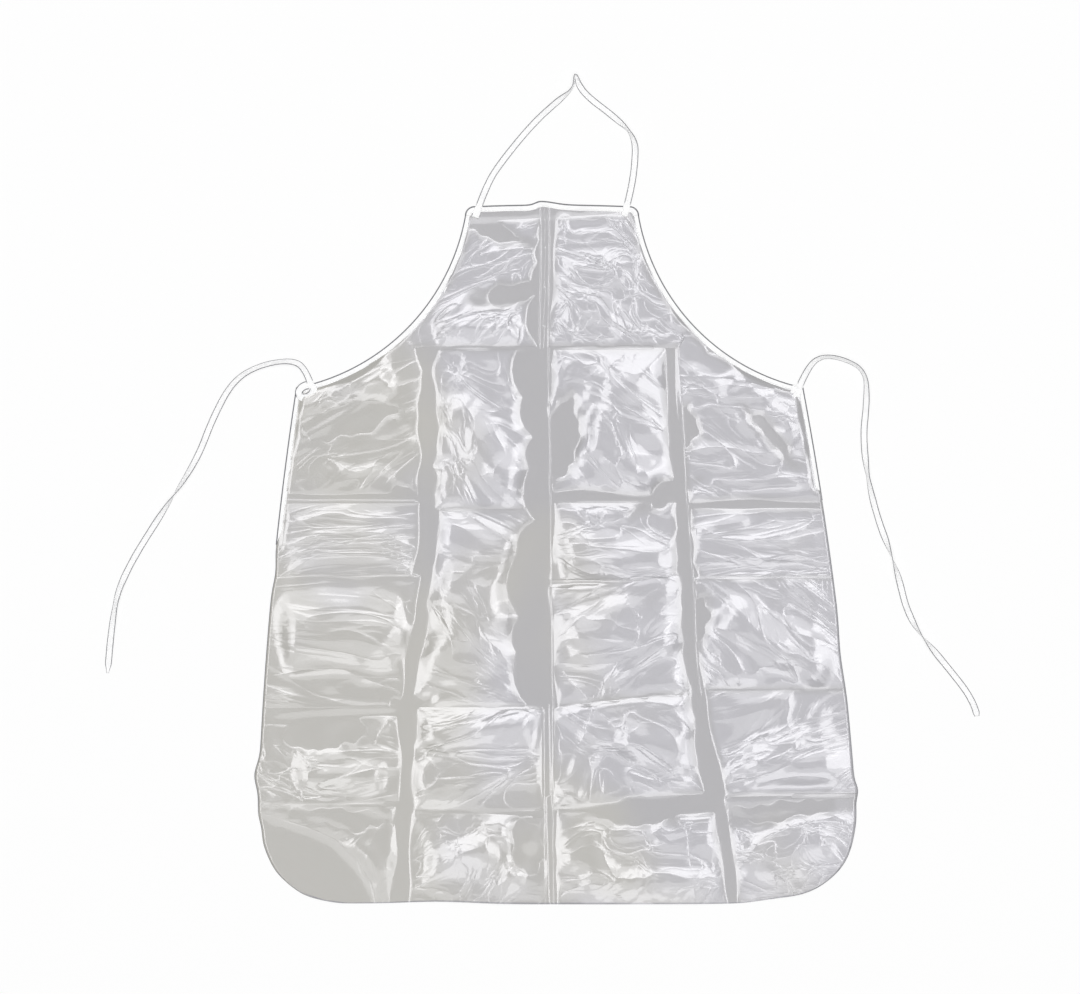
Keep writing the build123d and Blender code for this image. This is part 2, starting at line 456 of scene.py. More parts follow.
@dataclass(frozen=True)
class PolyesterTape:
    """White woven polyester tape, with painted shade as a dark line along each edge, left out where the tape
    is sewn down.

    It reads the attribute "cut": along and across the flat tape, in metres, and the share sewn down.
    """

    name: str
    half_width: float           # mm, from the middle of the tape to its selvedge
    colour: str = "#FBFBFB"
    shade: str = "#F1F1F2"
    # Painted shade: a dark line along the tape's edges.
    painted_edge_shade: str = "#727276"
    painted_edge_width: float = 1.4  # mm
    twill: float = 6.912        # mm along the tape; a real twill of 0.5 mm is too fine to show
    weft: float = 2.419         # mm along the tape, drawn as coarse for the same reason
    rib_depth: float = 0.05     # mm
    roughness: float = 0.75

    def make(self) -> Material:
        """Build the material: a twill that runs aslant and a weft across, multiplied together.

        Returns:
            The new material.
        """
        material = bpy.data.materials.new(self.name)
        add = empty_tree(material)
        cut = add("Attribute", attribute_name="cut").outputs["Vector"]
        parts = add("SeparateXYZ", [cut])
        twill = add("TexWave", {"Vector": cut, "Scale": Bands.DIAGONAL.scale(self.twill),
                                "Distortion": 0.4, "Detail": 1.0, "Detail Scale": 3.0},
                    wave_type="BANDS", bands_direction=Bands.DIAGONAL.name)
        weft = add("TexWave", {"Vector": cut, "Scale": Bands.X.scale(self.weft)}, wave_type="BANDS",
                   bands_direction=Bands.X.name)
        weave = add("Math", [twill.outputs["Fac"], weft.outputs["Fac"]], operation="MULTIPLY")
        wear = add("TexNoise", {"Vector": cut, "Scale": 45.0, "Detail": 4.0})
        grime = add("MapRange", [wear.outputs["Fac"], 0.35, 0.75])
        body = add("Mix", {0: grime, 6: linear(self.colour), 7: linear(self.shade)}, data_type="RGBA")
        # Painted shade: a dark line at each edge of the tape, faded out by the share sewn down.
        reach = add("Math", [parts.outputs["Y"]], operation="ABSOLUTE")
        loose = add("Math", [1.0, parts.outputs["Z"]], operation="SUBTRACT")
        edge = add("MapRange", {
            "Value": reach,
            1: (self.half_width - self.painted_edge_width) * MM,
            2: (self.half_width - 0.55 * self.painted_edge_width) * MM,
            4: loose,
        }, **SMOOTH)
        colour = add("Mix", {0: edge, 6: body.outputs[2], 7: linear(self.painted_edge_shade)}, data_type="RGBA")
        bump = add("Bump", {"Strength": 0.7, "Distance": self.rib_depth * MM, "Height": weave})
        shader = add("BsdfPrincipled", {
            "Base Color": colour.outputs[2], "Roughness": self.roughness, "IOR": 1.5,
            "Sheen Weight": 0.15, "Normal": bump,
        })
        add("OutputMaterial", {"Surface": shader})
        return material


@dataclass(frozen=True)
class SpunThread:
    """White spun polyester sewing thread; slanting bands make it paler and darker by turns, the darker bands
    painted shade in the grooves of the bump.
    """

    colour: str = "#F4F4F5"
    # Painted shade in the grooves between the plies.
    painted_groove_shade: str = "#DEDEE0"
    band: float = 6.283         # mm; real plies of 0.5 mm are too fine to show
    depth: float = 0.08         # mm

    def make(self) -> Material:
        """Build the material.

        Returns:
            The new material.
        """
        material = bpy.data.materials.new("spun_thread")
        add = empty_tree(material)
        place = add("TexCoord").outputs["Object"]
        bands = add("TexWave", {"Vector": place, "Scale": Bands.DIAGONAL.scale(self.band)},
                    wave_type="BANDS", bands_direction=Bands.DIAGONAL.name).outputs["Fac"]
        colour = add("Mix", {0: bands, 6: linear(self.painted_groove_shade), 7: linear(self.colour)}, data_type="RGBA")
        bump = add("Bump", {"Distance": self.depth * MM, "Height": bands})
        shader = add("BsdfPrincipled", {"Base Color": colour.outputs[2], "Roughness": 0.6, "Normal": bump})
        add("OutputMaterial", {"Surface": shader})
        return material


@dataclass(frozen=True)
class StudioPaper:
    """White paper sweep. Part of what the camera sees is its own white, so shadows stay faint."""

    colour: str = "#F7F7F7"
    own_white: float = 0.72
    fibre: float = 2.5          # mm, drawn coarser than real fibres, which are too fine to show
    fibre_depth: float = 0.02   # mm

    def make(self) -> Material:
        """Build the material.

        Returns:
            The new material.
        """
        material = bpy.data.materials.new("studio_paper")
        add = empty_tree(material)
        share = add("Math", [background_ray(add), self.own_white], operation="MULTIPLY")
        place = add("TexCoord").outputs["Object"]
        fibres = add("TexNoise", {"Vector": place, "Scale": 1 / (self.fibre * MM), "Detail": 3.0})
        bump = add("Bump", {"Distance": self.fibre_depth * MM, "Height": fibres.outputs["Fac"]})
        paper = add("BsdfDiffuse", {"Color": linear(self.colour), "Normal": bump})
        white = add("Emission", {"Color": WHITE, "Strength": 1.0})
        both = add("MixShader", [share, paper, white])
        add("OutputMaterial", {"Surface": both})
        return material


@dataclass
class Finishes:
    """Every material of the apron, each made once."""

    film: Material = field(default_factory=GlossyPvcFilm().make)
    binding: Material = field(
        default_factory=PolyesterTape("polyester_binding", BINDING_HALF, painted_edge_width=1.6).make)
    strap: Material = field(default_factory=PolyesterTape("polyester_strap", STRAP_HALF).make)
    thread: Material = field(default_factory=SpunThread().make)


# ---- Pattern of the film


@dataclass(frozen=True)
class Arc:
    """Circular arc of the pattern, from start to end, in mm; a positive radius turns clockwise."""

    start: Point
    end: Point
    radius: float

    @property
    def centre(self) -> Array:
        """Centre of the arc's circle: off the middle of the chord, square to it.

        Returns:
            The centre, in mm.
        """
        a, b = np.array(self.start), np.array(self.end)
        chord = b - a
        length = np.hypot(*chord)
        reach = math.sqrt(self.radius ** 2 - (length / 2) ** 2)
        normal = np.array([chord[1], -chord[0]]) / length
        return (a + b) / 2 + math.copysign(reach, self.radius) * normal

    def points(self, count: int) -> Array:
        """Points at equal angles along the arc.

        Args:
            count: how many points.

        Returns:
            The points, one a row, in mm.
        """
        from_centre = np.array([self.start, self.end]) - self.centre
        first, last = np.arctan2(from_centre[:, 1], from_centre[:, 0])
        turn = (last - first + math.pi) % (2 * math.pi) - math.pi
        angle = first + turn * np.linspace(0, 1, count)
        return self.centre + abs(self.radius) * np.stack([np.cos(angle), np.sin(angle)], -1)


def sagitta_radius(start: Point, end: Point, rise: float) -> float:
    """Radius of an arc from its chord c and rise s: (c^2 / 4 + s^2) / 2s."""
    chord = math.dist(start, end)
    return (chord ** 2 / 4 + rise ** 2) / (2 * rise)


@dataclass(frozen=True)
class Pattern:
    """Cut of the film, in mm, as the frame's film panel has it; a side is -1 left and 1 right."""

    bib_width: float = 256.0
    bib_crown: float = 3.0
    bib_corner: float = 11.0
    armhole_depth: float = 271.0
    armhole_radius: float = 320.0
    waist_width: float = 760.0
    waist_offset: float = -3.5
    length: float = 1043.0
    hem_width: float = 908.0
    hem_offset: float = 10.0
    hem_crown: float = 3.0
    hem_corner: float = 135.0
    side_bow: float = 14.0
    left_bound: float = 238.0   # length of side edge that is bound, from the waist down
    right_bound: float = 172.0
    wrap: float = 0.6           # how far a binding stands out from the cut edge
    strap_gap: float = 0.3      # from the bib's binding up to the free part of the neck loop
    peak_rise: float = 5.5      # of the bib's top, where the centre fold pushes it up
    peak_at: float = -17.0
    peak_spread: Point = (11.0, 28.0)  # left of the peak, and right of it

    def to_frame(self, x: Array, y: Array, z: Array | float) -> Array:
        """Put points of the pattern in the frame.

        Args:
            x, y, z: place on the pattern and height over the floor, in mm.

        Returns:
            The points, with x, y and z on the last axis, in metres.
        """
        binding_low, binding_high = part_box("bib_binding")
        middle = (binding_low.x + binding_high.x) / 2
        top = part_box("neck_strap")[0].y - (self.bib_crown + self.wrap + self.strap_gap) * MM
        return np.stack([x * MM + middle, y * MM + top, np.broadcast_to(z, np.shape(x)) * MM], -1)

    def bib_point(self, side: int) -> Point:
        """Corner of the bib."""
        return side * self.bib_width / 2, 0.0

    def waist_point(self, side: int) -> Point:
        """Corner between armhole and side."""
        return self.waist_offset + side * self.waist_width / 2, -self.armhole_depth

    def hem_point(self, side: int) -> Point:
        """Corner between side and hem, before it is rounded."""
        return self.hem_offset + side * self.hem_width / 2, -self.length

    def bound(self, side: int) -> float:
        """Length of a side's bound stretch."""
        return self.left_bound if side < 0 else self.right_bound

    def bib_peak(self, x: Array) -> Array:
        """Rise of the bib's top over its crown: exp(-(d / spread)^2), steeper on its left."""
        spread = np.where(x < self.peak_at, *self.peak_spread)
        return self.peak_rise * np.exp(-((x - self.peak_at) / spread) ** 2)

    def armhole(self, side: int) -> Arc:
        """Hollow arc of one armhole, from the bib down."""
        return Arc(self.bib_point(side), self.waist_point(side), -side * self.armhole_radius)

    def side(self, side: int) -> Arc:
        """Gently swelling side, from the waist down."""
        start, end = self.waist_point(side), self.hem_point(side)
        return Arc(start, end, side * sagitta_radius(start, end, self.side_bow))

    def rounding(self, side: int) -> tuple[Array, Array]:
        """Rounded hem corner: its circle touches the circles of side and hem from inside.

        Args:
            side: which corner.

        Returns:
            Where it touches the side, and where it touches the hem.
        """
        flank, r = self.side(side), self.hem_corner
        hem_r = sagitta_radius(self.hem_point(-1), self.hem_point(1), self.hem_crown)
        hem_c = np.array([self.hem_offset, -self.length - self.hem_crown + hem_r])
        a, b = abs(flank.radius) - r, hem_r - r
        gap = hem_c - flank.centre
        d = np.hypot(*gap)
        along = (a * a - b * b + d * d) / (2 * d)
        off = math.sqrt(a * a - along * along)
        square = np.array([gap[1], -gap[0]]) / d
        both = [flank.centre + gap / d * along + s * off * square for s in (-1, 1)]
        centre = min(both, key=lambda p: math.dist(p, self.hem_point(side)))
        on_side = flank.centre + (centre - flank.centre) * abs(flank.radius) / a
        on_hem = hem_c + (centre - hem_c) * hem_r / b
        return on_side, on_hem

    def edge(self, side: int, rows: tuple[int, int, int]) -> Array:
        """Whole edge from the bib's corner to the hem: armhole, side, rounded corner.

        Args:
            side: which edge.
            rows: points along the armhole, the side and the rounded corner.

        Returns:
            The points, one a row, in mm.
        """
        on_side, on_hem = self.rounding(side)
        whole = self.side(side)
        arcs = (self.armhole(side), Arc(whole.start, tuple(on_side), whole.radius),
                Arc(tuple(on_side), tuple(on_hem), side * self.hem_corner))
        lines = [arc.points(count) for arc, count in zip(arcs, rows)]
        return np.vstack([lines[0], lines[1][1:], lines[2][1:]])


# ---- Relief of the film: what storing it folded, and laying it out, has left


def along_path(path: Line | Array, x: Array, y: Array) -> tuple[Array, Array, float]:
    """Distance from a bent line, and how far along it the nearest point lies.

    Args:
        path: corners of the line, in mm.
        x, y: place on the pattern, in mm.

    Returns:
        The distance, positive on the left of the line; the place along it; and its length.
    """
    ends = np.array(path, float)
    steps = np.diff(ends, axis=0)
    lengths = np.hypot(steps[:, 0], steps[:, 1])
    nearest, place = np.full(x.shape, 1e9), np.zeros(x.shape)
    for (x0, y0), (dx, dy), length, start in zip(ends, steps / lengths[:, None], lengths,
                                                 np.cumsum(lengths) - lengths):
        run = np.clip((x - x0) * dx + (y - y0) * dy, 0, length)
        ox, oy = x - x0 - run * dx, y - y0 - run * dy
        gap = np.hypot(ox, oy)
        closer = gap < np.abs(nearest)
        nearest = np.where(closer, np.copysign(gap, dx * oy - dy * ox), nearest)
        place = np.where(closer, start + run, place)
    return nearest, place, float(lengths.sum())


def eased(path: Line) -> Array:
    """The same line with its corners cut twice over, so that it curves.

    Args:
        path: corners of the line.

    Returns:
        The new corners, one a row.
    """
    line = np.array(path, float)
    for _ in range(2):
        inner = np.stack([0.75 * line[:-1] + 0.25 * line[1:], 0.25 * line[:-1] + 0.75 * line[1:]], 1)
        line = np.vstack([line[:1], inner.reshape(-1, 2)[1:-1], line[-1:]])
    return line


def scallops(cusps: Line, bulge: float) -> Line:
    """Line of lobes from cusp to cusp, each a parabola, 4 bulge t (1 - t), off its chord.

    Args:
        cusps: where the lobes meet.
        bulge: how far each swells to the right, as a share of its length.

    Returns:
        Corners of the line.
    """
    points = [cusps[0]]
    for (x0, y0), (x1, y1) in zip(cusps, cusps[1:]):
        for t in (0.12, 0.3, 0.5, 0.7, 0.88, 1.0):
            out = 4 * bulge * t * (1 - t)
            points.append((x0 + (x1 - x0) * t + out * (y1 - y0), y0 + (y1 - y0) * t - out * (x1 - x0)))
    return tuple(points)


@dataclass(frozen=True)
class Mark:
    """Mark in the film along a bent line, whose cross-section is a roof."""

    path: Line
    height: float               # mm
    fade: ClassVar[float] = 25.0  # mm, over which it fades out towards each end of a long line

    def reach(self) -> float:
        """How far the mark reaches to each side of its line, in mm."""
        raise NotImplementedError

    def roof(self, gap: Array) -> Array:
        """Height of the roof, 1 at its crest, at each signed distance from the line, in mm."""
        raise NotImplementedError

    def box(self) -> Box:
        """Lowest and highest x, then y, that the mark reaches, in mm."""
        (x0, x1), (y0, y1) = ((min(part), max(part)) for part in zip(*self.path))
        return x0 - self.reach(), x1 + self.reach(), y0 - self.reach(), y1 + self.reach()

    def lift(self, x: Array, y: Array) -> Array:
        """Height that the mark adds: its roof, faded out towards both ends of its line.

        Args:
            x, y: place on the pattern, in mm.

        Returns:
            The height, in mm.
        """
        gap, place, length = along_path(eased(self.path), x, y)
        fade = min(self.fade, 0.45 * length)
        height = self.height * self.roof(gap) * smoothstep(0, fade, place)
        return height * smoothstep(0, fade, length - place)


@dataclass(frozen=True)
class Ridge(Mark):
    """Narrow crease: slopes that die away as exp(-|d| / spread), rounded at the top."""

    spread: float               # mm
    crown: float = 1.5          # mm, how far the top is rounded

    def reach(self) -> float:
        """Six spreads, past which nothing shows."""
        return 6 * self.spread

    def roof(self, gap: Array) -> Array:
        """The exponential slopes, joined by a hyperbola."""
        return np.exp((self.crown - np.hypot(gap, self.crown)) / self.spread)


@dataclass(frozen=True)
class Facet(Mark):
    """Two leaning facets that meet in a crest: even slopes, eased at the crest and at their feet."""

    left: float                 # mm from the crest to the foot on the left of the path
    right: float
    ease: float = 0.12          # of the width, rounded off at the crest and at each foot
    fade: ClassVar[float] = 30.0

    def reach(self) -> float:
        """A little past the further foot."""
        return 1.4 * max(self.left, self.right)

    def roof(self, gap: Array) -> Array:
        """Straight slopes, joined by hyperbolas at the crest and at the feet.

        Args:
            gap: signed distance from the line, in mm.

        Returns:
            The height, about 1 at the crest.
        """
        share = np.abs(gap) / np.where(gap > 0, self.left, self.right)
        fall = 1 + self.ease - np.hypot(share, self.ease)
        return 0.5 * (fall + np.hypot(fall, self.ease)) * (1 - smoothstep(1.0, 1.3, share))


@dataclass(frozen=True)
class Panel:
    """One panel between the packet's folds: a low pillow of film, draped along its own grain.

    Near the folds the film clings flat to what it lies on. The edge of the clinging strip wanders
    in scallops, and the pillow climbs from it, fast at first and then slower.
    """

    left: Line                  # fold or edge on its left, from the top down
    right: Line
    top: float
    bottom: float
    grain: Point                # mm, length and breadth of one drape
    angle: float                # of the grain, degrees
    height: float               # mm, of its drapes
    ridged: float               # 0 for soft waves, 1 for sharp ridges
    cling: tuple[float, float, float, float]  # mm: left, right, top, bottom
    seed: int
    scallop: float = 52.0       # mm, from one scallop to the next
    climb: float = 2.2          # mm, rise of the pillow
    climb_width: float = 16.0   # mm
    tilt: float = 0.0           # rise to the right of its top and bottom

    def span(self, x: Array) -> tuple[Array, Array]:
        """Bottom and top of the panel at each place across it."""
        rise = self.tilt * (x - 0.5 * (self.left[0][0] + self.right[0][0]))
        return self.bottom + rise, self.top + rise

    def inside(self, x: Array, y: Array) -> Array:
        """Distance inside the pillow's edge, which scallops and slow noise move in and out.

        Args:
            x, y: place on the pattern, in mm.

        Returns:
            The distance, in mm, negative where the film clings.
        """
        low, high = self.span(x)
        gaps = (along_path(self.left, x, y)[0], -along_path(self.right, x, y)[0], high - y, y - low)
        nearest = np.full(x.shape, FAR)
        for number, (gap, cling) in enumerate(zip(gaps, self.cling)):
            place = (y if number < 2 else x) / self.scallop + 60
            slow = line_noise(0.6 * place, 9.5 + number, self.seed + 41)
            wave = np.abs(line_noise(place, 5.5 + number, self.seed + 40))
            strip = min(cling, 10.0) * (1 + 1.3 * slow) + max(cling - 10.0, 0.0) * 3.6 * wave
            nearest = np.minimum(nearest, gap - strip)
        return nearest

    def flow(self, x: Array, y: Array) -> tuple[Array, Array]:
        """Place along and across the grain, bent by noise twice over so that drapes flow.

        Args:
            x, y: place on the pattern, in mm.

        Returns:
            Both places, in drapes.
        """
        u, v = turned(x, y, -self.angle)
        u, v = u / self.grain[0] + 60, v / self.grain[1] + 60
        for size, seed in ((0.5, self.seed + 70), (1.1, self.seed + 80)):
            bend = 0.5 / size
            u, v = (u + bend * lattice_noise(size * u, size * v, seed),
                    v + bend * lattice_noise(size * u + 30, size * v, seed + 1))
        return u, v

    def crests(self, u: Array, v: Array) -> tuple[Array, Array]:
        """Two fields of noise whose zero lines are the crests of sharp creases."""
        return (lattice_noise(u + 9, v + 9, self.seed + 2),
                lattice_noise(1.5 * u + 19, 1.3 * v + 19, self.seed + 4))

    def lift(self, x: Array, y: Array, inside: Array, away: Array) -> Array:
        """Height of the pillow and of its drapes.

        The pillow is climb (1 - exp(-d / width)) at a distance d inside its edge. The drapes are
        waves, broad and narrow, and ridges where other waves cross zero.

        Args:
            x, y: place on the pattern, in mm.
            inside: distance inside the pillow's edge, in mm.
            away: distance from the nearest patch that lies flat inside a pillow, in mm.

        Returns:
            The height, in mm.
        """
        u, v = self.flow(x, y)
        waves = lattice_noise(u, v, self.seed) + 0.35 * lattice_noise(1.9 * u, 1.9 * v, self.seed + 3)
        ridges = 0.4 - 1.5 * np.sqrt(self.crests(u, v)[0] ** 2 + 0.002)
        broad = 2.2 * lattice_noise(0.5 * u + 7, 0.55 * v + 7, self.seed + 5)
        drape = (1 - self.ridged) * 1.3 * waves + self.ridged * ridges + broad
        depth = np.maximum(inside, 0)
        rise = self.climb * (0.9 + 1.1 * lattice_noise(x / 45 + 70, y / 45 + 70, self.seed + 6))
        return (rise * (1 - np.exp(-depth / self.climb_width))
                + self.height * drape * smoothstep(0, 20, np.minimum(depth, away)))


@dataclass(frozen=True)
class Cling:
    """Patch inside a panel where the film clings flat: an oval whose edge noise makes uneven."""

    at: Point
    size: Point                 # mm, half its length and half its breadth
    angle: float = 0.0
    lobe: bool = False          # whether it joins the strip that clings beside a fold

    def outside(self, x: Array, y: Array) -> Array:
        """About the distance outside the oval.

        Args:
            x, y: place on the pattern, in mm.

        Returns:
            The distance, in mm, negative inside the oval.
        """
        u, v = turned(x - self.at[0], y - self.at[1], -self.angle)
        oval = np.hypot(u / self.size[0], v / self.size[1])
        return (oval - 1) * min(self.size) + 9 * lattice_noise(x / 22 + 8, y / 22 + 8, 31)


# The packet's long folds, and what bounds the panels outside them, from the top down.
LEFT_FOLD = ((-193, -168), (-190, -245), (-186, -445), (-199, -620), (-217, -740), (-227, -1045))
CENTRE_FOLD = ((-11, 8), (-10, -440), (-3, -1048))
RIGHT_FOLD = ((163, -148), (178, -207), (180, -310), (198, -440), (204, -590), (214, -730), (234, -830),
              (256, -918), (270, -1045))
LEFT_EDGE = ((-128, 20), (-250, -212), (-480, -260), (-480, -1060))
RIGHT_EDGE = ((128, 20), (240, -212), (480, -260), (480, -1060))
CORNER_ARC = ((-470, -902), (-420, -915), (-370, -929), (-325, -949), (-292, -978), (-270, -1015),
              (-262, -1060))

# Where the lobes that cling beside the centre fold end.
SCALLOPS = scallops(((-44, -205), (-42, -285), (-26, -345), (-34, -392), (-22, -471), (-52, -520),
                     (-48, -615), (-52, -668), (-24, -755)), 0.19)

# Fine sharp lines that run beside the folds.
FOLD_LINES: tuple[Line, ...] = (
    ((-17, -2), (-18, -205)),
    ((-4, -2), (-5, -230), (-2, -440), (1, -640), (3, -1045)),
    ((-13, -757), (-11, -1045)),
    ((189, -214), (198, -365), (210, -530), (216, -640), (222, -725)),
    ((-405, -440), (-206, -441)),
    CORNER_ARC,
    ((-412, -556), (-205, -551)),
    ((212, -558), (418, -556)),
)

# Panels from the bib down, and in each row from left to right.
PANELS: tuple[Panel, ...] = (
    Panel(LEFT_EDGE, CENTRE_FOLD, 6, -211, (60, 24), 28, 0.7, 0.5, (8, 16, 12, 0), 201, climb=0.6),
    Panel(CENTRE_FOLD, RIGHT_EDGE, 6, -211, (40, 22), -30, 1.0, 0.55, (10, 12, 8, 0), 203, climb=1.0),
    Panel(LEFT_EDGE, LEFT_FOLD, -160, -438, (110, 38), 33, 0.75, 0.4, (4, 14, 0, 5), 204, climb=1.2),
    Panel(LEFT_FOLD, SCALLOPS, -213, -453, (90, 40), -52, 1.7, 0.3, (15, 2, -2, -1), 205),
    Panel(CENTRE_FOLD, RIGHT_FOLD, -213, -437, (80, 38), -35, 2.2, 0.35, (14, 9, -2, 8), 206),
    Panel(RIGHT_FOLD, RIGHT_EDGE, -150, -447, (80, 34), -15, 2.3, 0.4, (7, 12, 2, 5), 207),
    Panel(LEFT_EDGE, LEFT_FOLD, -443, -554, (160, 26), 5, 0.35, 0.3, (-3, 12, 0, -3), 208, climb=1.4),
    Panel(LEFT_FOLD, SCALLOPS, -453, -751, (90, 42), -32, 2.4, 0.25, (12, 2, -2, 1), 209),
    Panel(CENTRE_FOLD, RIGHT_FOLD, -440, -562, (70, 28), -5, 2.2, 0.4, (10, 15, 2, -4), 210),
    Panel(RIGHT_FOLD, RIGHT_EDGE, -448, -557, (120, 26), 0, 2.2, 0.4, (14, -3, 3, -3), 211),
    Panel(LEFT_EDGE, LEFT_FOLD, -554, -752, (130, 40), -12, 1.7, 0.35, (-3, 10, -3, 0), 212),
    Panel(CENTRE_FOLD, RIGHT_FOLD, -562, -743, (70, 38), 22, 2.8, 0.3, (9, 12, -4, 1), 214, tilt=0.1),
    Panel(RIGHT_FOLD, RIGHT_EDGE, -557, -724, (90, 34), -40, 2.6, 0.4, (10, -3, -3, -1), 215),
    Panel(LEFT_EDGE, LEFT_FOLD, -752, -892, (70, 34), -10, 1.2, 0.4, (10, 10, 10, 1), 216, climb=1.3,
          tilt=0.04),
    Panel(LEFT_FOLD, CENTRE_FOLD, -751, -906, (80, 32), 15, 2.3, 0.45, (12, 12, -2, 0), 217),
    Panel(CENTRE_FOLD, RIGHT_FOLD, -743, -902, (60, 36), -30, 2.4, 0.35, (10, 12, -2, 6), 218,
          tilt=0.1),
    Panel(RIGHT_FOLD, RIGHT_EDGE, -724, -882, (90, 34), 20, 2.6, 0.35, (10, -3, -2, -2), 219),
    Panel(CORNER_ARC, LEFT_FOLD, -897, -1060, (90, 40), 40, 1.8, 0.25, (1, 10, 0, -5), 220),
    Panel(LEFT_FOLD, CENTRE_FOLD, -906, -1060, (60, 36), 40, 2.8, 0.4, (10, 10, 4, -5), 221,
          tilt=-0.05),
    Panel(CENTRE_FOLD, RIGHT_FOLD, -902, -1060, (60, 36), 0, 2.2, 0.4, (12, 9, 6, -5), 222),
    Panel(RIGHT_FOLD, RIGHT_EDGE, -884, -1060, (46, 28), -20, 2.1, 0.45, (6, -3, 0, -5), 223),
)

# Ovals where the film lies flat inside a panel.
CLINGS: tuple[Cling, ...] = (
    Cling((14, -350), (26, 60), -8, lobe=True),
    Cling((168, -432), (32, 12), 28, lobe=True),
    Cling((200, -333), (19, 28), lobe=True),
    Cling((222, -620), (14, 32), lobe=True),
    Cling((-232, -428), (22, 10), 0, lobe=True),
    Cling((-215, -742), (30, 9), 8, lobe=True),
    Cling((-308, -320), (72, 24), 14),
    Cling((-58, -130), (46, 15), 12),
    Cling((-88, -34), (40, 15), -25),
    Cling((330, -345), (34, 10), -50),
    Cling((-340, -790), (70, 22), 4),
    Cling((130, -907), (62, 19), 0, lobe=True),
    Cling((345, -905), (84, 14), 7),
    Cling((-36, -962), (24, 46), 10),
    Cling((-312, -917), (72, 13), -4),
)

# Creases where the packet was folded across, and others that cross the strips that cling.
CREASES: tuple[Ridge, ...] = (
    Ridge(((-182, -212), (-18, -212)), 0.8, 4),
    Ridge(((3, -211), (172, -213)), 0.8, 4),
    Ridge(((-412, -556), (-300, -552), (-205, -550)), 0.9, 5),
    Ridge(((212, -558), (300, -562), (418, -556)), 0.9, 5),
    Ridge(((-432, -762), (-368, -754), (-222, -750)), 1.2, 5),
    Ridge(((5, -765), (62, -753), (140, -740), (214, -724)), 2.2, 8),
    Ridge(((-444, -894), (-235, -894)), 2.0, 7),
    Ridge(CORNER_ARC, 1.0, 5),
    Ridge(((252, -882), (350, -880), (458, -880)), 2.0, 7),
    Ridge(((-386, -334), (-320, -294), (-240, -238)), 1.1, 4),
    Ridge(((-384, -352), (-312, -312), (-262, -276)), 0.9, 3.5),
    Ridge(((-350, -290), (-290, -258), (-235, -228)), 1.2, 4.5),
)

FACETS: tuple[Facet, ...] = (
    Facet(((-180, -200), (-110, -196), (-45, -202)), 6.0, 60, 12),
    Facet(((8, -96), (60, -84), (130, -98)), 2.6, 26, 26),
    Facet(((-10, -108), (52, -146), (115, -196)), 3.6, 22, 30),
    Facet(((-390, -340), (-310, -288), (-235, -245)), 5.0, 34, 26),
    Facet(((-155, -285), (-110, -360), (-50, -445)), 4.6, 44, 30),
    Facet(((-5, -274), (80, -279), (185, -268)), 8.2, 56, 84),
    Facet(((40, -330), (100, -380), (170, -420)), 4.0, 34, 40),
    Facet(((262, -235), (312, -300), (362, -360)), 5.0, 30, 34),
    Facet(((-418, -660), (-320, -645), (-215, -652)), 6.5, 74, 44),
    Facet(((-195, -605), (-130, -632), (-60, -625), (-20, -650)), 8.0, 86, 66),
    Facet(((5, -543), (100, -552), (195, -538)), 6.0, 58, 30),
    Facet(((15, -650), (90, -640), (190, -660)), 5.0, 50, 40),
    Facet(((250, -600), (330, -655), (428, -705)), 5.0, 36, 34),
    Facet(((-390, -858), (-320, -850), (-245, -866)), 5.5, 46, 26),
    Facet(((-205, -800), (-120, -790), (-20, -772)), 4.5, 34, 26),
    Facet(((85, -795), (150, -800), (222, -835)), 6.0, 46, 34),
    Facet(((285, -852), (370, -842), (462, -850)), 6.5, 56, 26),
    Facet(((-330, -952), (-280, -985), (-252, -1050)), 3.4, 30, 8),
    Facet(((-200, -985), (-120, -965), (-30, -985)), 5.0, 40, 34),
    Facet(((38, -1045), (130, -1035), (235, -1050)), 5.5, 46, 14),
    Facet(((280, -990), (350, -965), (430, -960)), 3.5, 40, 40),
)

